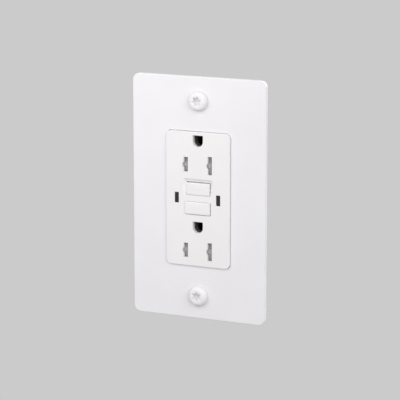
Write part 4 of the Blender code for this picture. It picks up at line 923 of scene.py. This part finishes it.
# %% Button words
def raised_word(name, word, tall, thick, at, facing, material, body):
    """A word as a thin solid that stands on a face."""
    curve = bpy.data.curves.new(name, "FONT")
    curve.body = word
    curve.size = tall / 0.73
    curve.align_x, curve.align_y = "CENTER", "CENTER"
    curve.extrude = thick / 2
    curve.resolution_u = 4
    guide = bpy.data.objects.new(name + "_guide", curve)
    scene.collection.objects.link(guide)
    bpy.context.view_layer.update()
    graph = bpy.context.evaluated_depsgraph_get()
    mesh = bpy.data.meshes.new_from_object(guide.evaluated_get(graph))
    bpy.data.objects.remove(guide)
    shape = bmesh.new()
    shape.from_mesh(mesh)
    bmesh.ops.remove_doubles(shape, verts=shape.verts, dist=1e-6)
    bmesh.ops.recalc_face_normals(shape, faces=shape.faces)
    shape.to_mesh(mesh)
    shape.free()
    mesh.materials.clear()
    mesh.materials.append(material)
    piece = bpy.data.objects.new(name, mesh)
    scene.collection.objects.link(piece)
    side = Vector((0.0, 0.0, 1.0)).cross(Vector(facing))
    axes = Matrix((side, (0.0, 0.0, 1.0), facing)).transposed().to_4x4()
    piece.matrix_world = Matrix.Translation(at) @ axes
    dress(piece, body, ())
    print(name, len(mesh.polygons), "faces")
    return piece


WORD_TALL, WORD_THICK = 1.7 * MM, 0.12 * MM
for name, (height, size, _, _) in caps.items():
    node = f"{name}_button"
    top = extent(node)[0].y
    raised_word(
        f"{name}_word",
        name.upper(),
        WORD_TALL,
        WORD_THICK,
        (BUTTON_X[name], top + 0.02 * MM, height),
        (0.0, -1.0, 0.0),
        WHITE_PLASTIC,
        node,
    )

# %% [markdown]
# ## Mounting strap
# The steel strap carries the whole device and is screwed to the wall box. It is stamped from
# sheet, so its corners are round and its edges are slightly rolled over.

# %% Strap
strap_low, strap_high, strap_size = extent("mounting_strap")
STRAP_FRONT, STRAP_BACK = 2.4 * MM, 3.4 * MM
BOX_SCREW_Z, BOX_SLOT = 41.67 * MM, (7.0 * MM, 4.2 * MM)
ear_x, ear_z = strap_size.x / 2, strap_high.z
NECK_X, BODY_X, NECK_Z, BODY_Z, LUG_Z = 10.0 * MM, 15.5 * MM, 45.0 * MM, 34.0 * MM, -37.0 * MM
SLOPE, SLEEVE_GAP = 0.8 * MM, 0.3 * MM
right_side = [
    (ear_x, -ear_z), (ear_x, -NECK_Z - SLOPE), (NECK_X, -NECK_Z), (NECK_X, LUG_Z - SLOPE),
    (BODY_X, LUG_Z), (BODY_X, BODY_Z), (NECK_X, BODY_Z + SLOPE), (NECK_X, NECK_Z),
    (ear_x, NECK_Z + SLOPE), (ear_x, ear_z),
]
left_side = [
    (-ear_x, ear_z), (-ear_x, NECK_Z + SLOPE), (-NECK_X, NECK_Z), (-NECK_X, BODY_Z + SLOPE),
    (-BODY_X, BODY_Z), (-BODY_X, -BODY_Z), (-NECK_X, -BODY_Z - SLOPE), (-NECK_X, -NECK_Z),
    (-ear_x, -NECK_Z - SLOPE), (-ear_x, -ear_z),
]
WINDOW_X, WINDOW_LOW, WINDOW_TOP = 12.5 * MM, -31.0 * MM, 22.3 * MM
TONGUE, TONGUE_HEAD, HEAD_LOW, HEAD_TOP = 3.2 * MM, 4.9 * MM, -18.2 * MM, -9.6 * MM
tongue = [
    (TONGUE, WINDOW_LOW), (TONGUE, HEAD_LOW - TONGUE_HEAD + TONGUE), (TONGUE_HEAD, HEAD_LOW),
    (TONGUE_HEAD, HEAD_TOP),
]
window = [(WINDOW_X, WINDOW_LOW), (WINDOW_X, WINDOW_TOP), (-WINDOW_X, WINDOW_TOP)]
window += [(-WINDOW_X, WINDOW_LOW)] + [(-x, z) for x, z in tongue] + tongue[::-1]
strap_outlines = [softened(right_side + left_side, 0.7 * MM), softened(window, 0.5 * MM)]
for sign, ground in zip((1.0, -1.0), GROUND_Z.values()):
    strap_outlines.append(inset(pin_hole(ground), -TUBE_WALL - SLEEVE_GAP))
    strap_outlines.append(round_hole((0.0, sign * SCREW_Z), 1.9 * MM, 24))
    strap_outlines.append(rounded((0.0, sign * BOX_SCREW_Z), BOX_SLOT, 2.0 * MM))
place(
    Solid().flat(strap_outlines, STRAP_FRONT, STRAP_BACK, [0.18 * MM] * len(strap_outlines)),
    "stamped_strap",
    ZINC,
    "outlet",
    "zinc_steel",
    ["mounting_strap"],
)
TAB = {"x": (7.5 * MM, 14.9 * MM), "y": (2.9 * MM, 12.5 * MM), "top": -35.4 * MM, "thick": 1.0 * MM}
middle = (TAB["x"][0] / 2 + TAB["x"][1] / 2, -TAB["y"][0] / 2 - TAB["y"][1] / 2)
tab_size = (TAB["x"][1] - TAB["x"][0], TAB["y"][1] - TAB["y"][0])
GROUND_SCREW = (11.5 * MM, 8.5 * MM)
tab_outlines = [rounded(middle, tab_size, 1.2 * MM)]
tab_outlines.append(round_hole((GROUND_SCREW[0], -GROUND_SCREW[1]), 2.0 * MM, 24))
place(
    Solid().flat(tab_outlines, 0.0, TAB["thick"], [0.15 * MM] * 2),
    "ground_tab",
    ZINC,
    "outlet",
    "zinc_steel",
    at=(0.0, 0.0, TAB["top"] - TAB["thick"]),
    facing=(0.0, 0.0, -1.0),
)

# %% [markdown]
# ## Machine screws
# Box screws, the green ground screw, the terminal screws and the four housing screws differ in
# size and metal only. Each is one row of rings with a real thread, and its drive is a slot, or a
# slot crossed by a second one, cut into the head.

# %% Machine screws
DRIVE_WIDTH, DRIVE_DEPTH = 1.0 * MM, 0.8 * MM


def machine_screw(name, material, body, slot, base, facing, head, shank, pitch, crossed):
    """A screw from its (radius, height) head and (radius, length) shank."""
    radius, height = head
    shank_radius, length = shank
    profile = [(0.0, height)] + head_edge(radius, height, 0.4 * height, 6)
    profile += [(radius, 0.12 * height), (radius - 0.12 * height, 0.0), (shank_radius, 0.0)]
    profile += thread(shank_radius, pitch, -0.3 * MM, 0.5 * MM - length)
    profile += [(0.6 * shank_radius, -length), (0.0, -length)]
    piece = place(
        Solid().turned(profile, 32), f"{name}_threaded", material, body, slot, [name], base, facing
    )
    for turned in ((False, True) if crossed else (False,)):
        size = (DRIVE_WIDTH, 3 * radius) if not turned else (1.3 * radius, 0.8 * DRIVE_WIDTH)
        bar = Solid().flat(
            [rounded((0.0, 0.0), size, 0.1 * MM, 3)],
            -height - 1.0 * MM,
            DRIVE_DEPTH - height,
            [0.0] * 1,
            [0.05 * MM],
        )
        carve(piece, cutter(bar, base, facing))
    return piece


for side in ("upper", "lower"):
    name = f"box_screw_{side}"
    low, high, size = extent(name)
    seat = 2.25 * MM
    machine_screw(
        name, ZINC, name, "zinc_steel", (0.0, seat, (low.z + high.z) / 2), (0.0, -1.0, 0.0),
        (size.x / 2, seat - low.y), (1.7 * MM, high.y - seat), 0.79 * MM, True,
    )
low, high, size = extent("ground_screw")
seat = TAB["top"] - TAB["thick"] - 0.15 * MM
machine_screw(
    "ground_screw", GREEN, "ground_screw", "green_steel",
    ((low.x + high.x) / 2, (low.y + high.y) / 2, seat), (0.0, 0.0, -1.0),
    (size.x / 2, seat - low.z), (1.8 * MM, high.z - seat), 0.79 * MM, True,
)
HEAD_TALL = 2.3 * MM
for feed in ("line", "load"):
    for pole, metal, slot, outward in (("hot", BRASS, "brass", -1.0), ("neutral", NICKEL, "nickel", 1.0)):
        name = f"{feed}_{pole}_screw"
        low, high, size = extent(name)
        tip, crown = (high.x, low.x) if outward < 0 else (low.x, high.x)
        seat = crown - outward * HEAD_TALL
        machine_screw(
            name, metal, f"{feed}_{pole}_clamping", slot,
            (seat, (low.y + high.y) / 2, (low.z + high.z) / 2), (outward, 0.0, 0.0),
            (size.z / 2, HEAD_TALL), (1.8 * MM, abs(seat - tip)), 0.79 * MM, True,
        )
for row in ("upper", "lower"):
    for label in ("left", "right"):
        name = f"housing_screw_{row}_{label}"
        low, high, size = extent(name)
        seat = 29.1 * MM
        machine_screw(
            name, ZINC, "outlet", "zinc_steel",
            ((low.x + high.x) / 2, seat, (low.z + high.z) / 2), (0.0, 1.0, 0.0),
            (size.x / 2, high.y - seat), (1.2 * MM, seat - low.y - 1.2 * MM), 0.7 * MM, True,
        )

# %% [markdown]
# ## Wire clamps and screw retainers
# A square clamp under each terminal screw pinches the bare wire. A small fibre square keeps each
# box screw from falling out before the outlet is fitted. Both are flat stock with one hole.

# %% Clamps and retainers
for feed in ("line", "load"):
    for pole, outward in (("hot", -1.0), ("neutral", 1.0)):
        name = f"{feed}_{pole}_clamp"
        low, high, size = extent(name)
        outlines = [rounded((0.0, 0.0), (size.y, size.z), 0.9 * MM), round_hole((0.0, 0.0), 2.0 * MM, 32)]
        outside = high.x if outward > 0 else low.x
        place(
            Solid().flat(outlines, 0.0, size.x, [0.22 * MM, 0.15 * MM]),
            f"{name}_plate",
            ZINC,
            f"{feed}_{pole}_clamping",
            "zinc_steel",
            [name],
            (outside, (low.y + high.y) / 2, (low.z + high.z) / 2),
            (outward, 0.0, 0.0),
        )
for side in ("upper", "lower"):
    name = f"screw_retainer_{side}"
    low, high, size = extent(name)
    middle = (0.0, (low.z + high.z) / 2)
    outlines = [rounded(middle, (size.x, size.z), 0.5 * MM), round_hole(middle, 1.9 * MM, 32)]
    place(
        Solid().flat(outlines, low.y, high.y, [0.08 * MM] * 2),
        f"{name}_square",
        FIBRE,
        "outlet",
        "fibre",
        [name],
    )

# %% [markdown]
# ## Back shell
# The grey shell at the back is a deep tray with a solid column in each corner for its screw,
# two wire holes beside every terminal, and a bay in each side for the terminal screws. The wire
# holes are countersunk, so that a bare wire finds its way in. A low lip round its rim closes the
# seam towards the contact carrier.

# %% Back shell
shell_low, shell_high, shell_size = extent("rear_housing")
SHELL_WALL, SHELL_CORNER, SHELL_EDGE = 1.6 * MM, 2.0 * MM, 1.0 * MM
LIP_IN, LIP_GAP = 0.9 * MM, 0.04 * MM
lip_front = extent("contact_carrier")[1].y + LIP_GAP
COLUMN_X, COLUMN_Z = 14.6 * MM, 27.6 * MM
SHELL_SCREW = (17.5 * MM, 30.5 * MM)
BORE, COUNTERBORE, COUNTERBORE_FLOOR = 1.5 * MM, 2.6 * MM, 28.95 * MM
WIRE_X, WIRE_STEP, WIRE_RADIUS, FUNNEL = 17.7 * MM, 2.9 * MM, 1.3 * MM, 0.5 * MM
TERMINAL_Z = 17.0 * MM
PANEL, PANEL_CORNER, PANEL_DEPTH = (26.0 * MM, 54.0 * MM), 2.0 * MM, 0.3 * MM
half_x, half_z = shell_size.x / 2 - SHELL_WALL, shell_size.z / 2 - SHELL_WALL
quarter = [(half_x, COLUMN_Z), (COLUMN_X, COLUMN_Z), (COLUMN_X, half_z)]
cavity = quarter + [(-x, z) for x, z in quarter[::-1]]
cavity += [(-x, -z) for x, z in quarter] + [(x, -z) for x, z in quarter[::-1]]
shell = Solid()
inner_floor = shell_high.y - SHELL_WALL
shell_outline = rounded((0.0, 0.0), (shell_size.x, shell_size.z), SHELL_CORNER)
rings = shell.edge(shell_outline, shell_high.y, SHELL_EDGE, 1.0, -1.0)
rings += [shell.ring(shell_outline, shell_low.y), shell.ring(inset(shell_outline, LIP_IN), shell_low.y)]
rings += [shell.ring(inset(shell_outline, LIP_IN), lip_front)]
back_rings, rim_rings = [[ring] for ring in shell.wall(rings)]
cavity_rings = [shell.ring(cavity, lip_front), shell.ring(cavity, inner_floor)]
rim_ring, floor_ring = shell.wall(cavity_rings)
rim_rings.append(rim_ring)
floor_rings = [floor_ring]
for sx in (-1.0, 1.0):
    for sz in (-1.0, 1.0):
        middle = (sx * SHELL_SCREW[0], sz * SHELL_SCREW[1])
        wide, narrow = round_hole(middle, COUNTERBORE, 32), round_hole(middle, BORE, 32)
        rings = shell.edge(wide, shell_high.y, 0.2 * MM, -1.0, -1.0)
        rings += [shell.ring(wide, COUNTERBORE_FLOOR), shell.ring(narrow, COUNTERBORE_FLOOR)]
        rings += [shell.ring(narrow, lip_front)]
        first, last = shell.wall(rings)
        back_rings.append(first)
        rim_rings.append(last)
        for step in (-WIRE_STEP, WIRE_STEP):
            hole = round_hole((sx * WIRE_X, sz * TERMINAL_Z + step), WIRE_RADIUS, 32)
            rings = shell.edge(hole, shell_high.y, FUNNEL, -1.0, -1.0)
            rings += [shell.ring(hole, inner_floor)]
            first, last = shell.wall(rings)
            back_rings.append(first)
            floor_rings.append(last)
panel = rounded((0.0, 0.0), PANEL, PANEL_CORNER)
rings = [shell.ring(panel, shell_high.y), shell.ring(inset(panel, 0.2 * MM), shell_high.y - PANEL_DEPTH)]
first, last = shell.wall(rings)
back_rings.append(first)
shell.cap(last)
shell.cap(*back_rings)
shell.cap(*rim_rings)
shell.cap(*floor_rings)
tray = place(shell, "back_shell", GREY, "outlet", "grey_plastic", ["rear_housing"])

# %% [markdown]
# The four side bays are cut with a rounded block, and raised words beside the wire holes say
# which pair takes the supply and which pair feeds on.

# %% Bays and words of the back shell
BAY_INNER, BAY_HALF, BAY_Y, BAY_CORNER = 17.2 * MM, 6.2 * MM, (13.8 * MM, 26.8 * MM), 0.6 * MM
for outward in (-1.0, 1.0):
    for height in (TERMINAL_Z, -TERMINAL_Z):
        size = (BAY_Y[1] - BAY_Y[0], 2 * BAY_HALF)
        block = Solid().flat(
            [rounded((0.0, 0.0), size, BAY_CORNER)], -9.0 * MM, 0.0, [0.0], [0.0]
        )
        at = (outward * BAY_INNER, sum(BAY_Y) / 2, height)
        carve(tray, cutter(block, at, (outward, 0.0, 0.0)))
print("shell after its bays:", len(tray.data.polygons), "faces")
for feed in ("line", "load"):
    height = sum(corner[2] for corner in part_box(f"{feed}_hot_screw")) / 2
    raised_word(
        f"{feed}_word",
        feed.upper(),
        3.2 * MM,
        0.3 * MM,
        (0.0, shell_high.y - PANEL_DEPTH + 0.1 * MM, height),
        (0.0, 1.0, 0.0),
        GREY,
        "outlet",
    )

# %% [markdown]
# ## Springs
# Five small springs bring the buttons, the shutters and the plunger back. A real one is round
# wire, wound so that the first and last turn lie flat. Here each is a row of rings along a
# helix. It stands on its fixed end.

# %% Springs
WIRE_SIDES, TURN_STEPS = 8, 24
END_TURN = 1.15
SPRINGS = {
    "test_spring": ("test_press", (0.0, -1.0, 0.0), 0.45 * MM, 4),
    "reset_spring": ("reset_press", (0.0, -1.0, 0.0), 0.50 * MM, 5),
    "upper_shutter_spring": ("upper_neutral_shutter_slide", (1.0, 0.0, 0.0), 0.35 * MM, 6),
    "lower_shutter_spring": ("lower_neutral_shutter_slide", (1.0, 0.0, 0.0), 0.35 * MM, 6),
    "plunger_spring": ("plunger_stroke", (0.0, 0.0, 1.0), 0.40 * MM, 4),
}
travel = {joint["name"]: joint["range_m"][1] for joint in frame["joints"] if "range_m" in joint}


def wound(mean, wire, turns, length):
    """A helix of round wire from depth 0 towards the front, with a flat turn at each end."""
    solid, rings = Solid(), []
    flat_turn = END_TURN * wire
    pitch = (length - wire - 2 * flat_turn) / (turns - 2)
    for i in range(turns * TURN_STEPS + 1):
        turn = i / TURN_STEPS
        rise = flat_turn * min(turn, 1.0) + pitch * min(max(turn - 1.0, 0.0), turns - 2.0)
        rise += flat_turn * max(turn - turns + 1.0, 0.0)
        angle = 2 * math.pi * turn
        ring = []
        for k in range(WIRE_SIDES):
            around = 2 * math.pi * k / WIRE_SIDES
            reach = mean + wire / 2 * math.cos(around)
            depth = -rise - wire / 2 * (1 + math.sin(around))
            corner = (reach * math.cos(angle), depth, reach * math.sin(angle))
            ring.append(solid.shape.verts.new(corner))
        rings.append(ring)
    first, last = solid.wall(rings)
    solid.shape.faces.new(first)
    solid.shape.faces.new(last)
    return solid


for name, (joint, push, wire, turns) in SPRINGS.items():
    low, high, size = extent(name)
    push = Vector(push)
    length = abs(size.dot(push))
    foot = (low + high) / 2 - push * length / 2
    mean = (sum(size) - length) / 4 - wire / 2
    spring = place(
        wound(mean, wire, turns, length), f"{name}_coil", SPRING, "outlet", "spring_steel",
        [name], foot, push,
    )
    share = 1.0 - travel[joint] / length
    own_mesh(spring)
    print(name, "length in mm", round(length / MM, 2), "pressed", round(length * share / MM, 2))

# %% [markdown]
# ## Pieces that keep their imported shape
# Shutters, contacts and the works inside the box are right as they are. Each gets the
# finish of its material slot in place of the plain colour that it was packed with. Only the
# ground contacts get brass darkened as painted shade, for the depth at which they lie.

# %% Finishes of the carried-over nodes
SLOT_FINISH = {
    "white_plate": WHITE_PAINT,
    "white_plastic": WHITE_PLASTIC,
    "smoked_lens": LENS,
    "shutter_grey": SHUTTER_SHADED,
    "grey_plastic": GREY,
    "dark_plastic": BLACK,
    "zinc_steel": ZINC,
    "spring_steel": SPRING,
    "brass": BRASS,
    "nickel": NICKEL,
    "green_steel": GREEN,
    "fibre": FIBRE,
    "board_green": BOARD,
    "copper_wire": COPPER,
    "varistor_blue": BLUE,
    "capacitor_ochre": OCHRE,
    "clear_lamp": LAMP,
}
for part in frame["record"]["subparts"]:
    node = frame["nodes"][part["node"]]
    for slot in node.material_slots:
        slot.material = SLOT_FINISH[part["material_slot"]]
# The ground contacts wear the darkened brass, as painted shade for their depth.
for label in GROUND_Z:
    for slot in frame["nodes"][f"ground_contact_{label}"].material_slots:
        slot.material = CONTACT_SHADE
print("nodes with a finish:", len(frame["nodes"]))
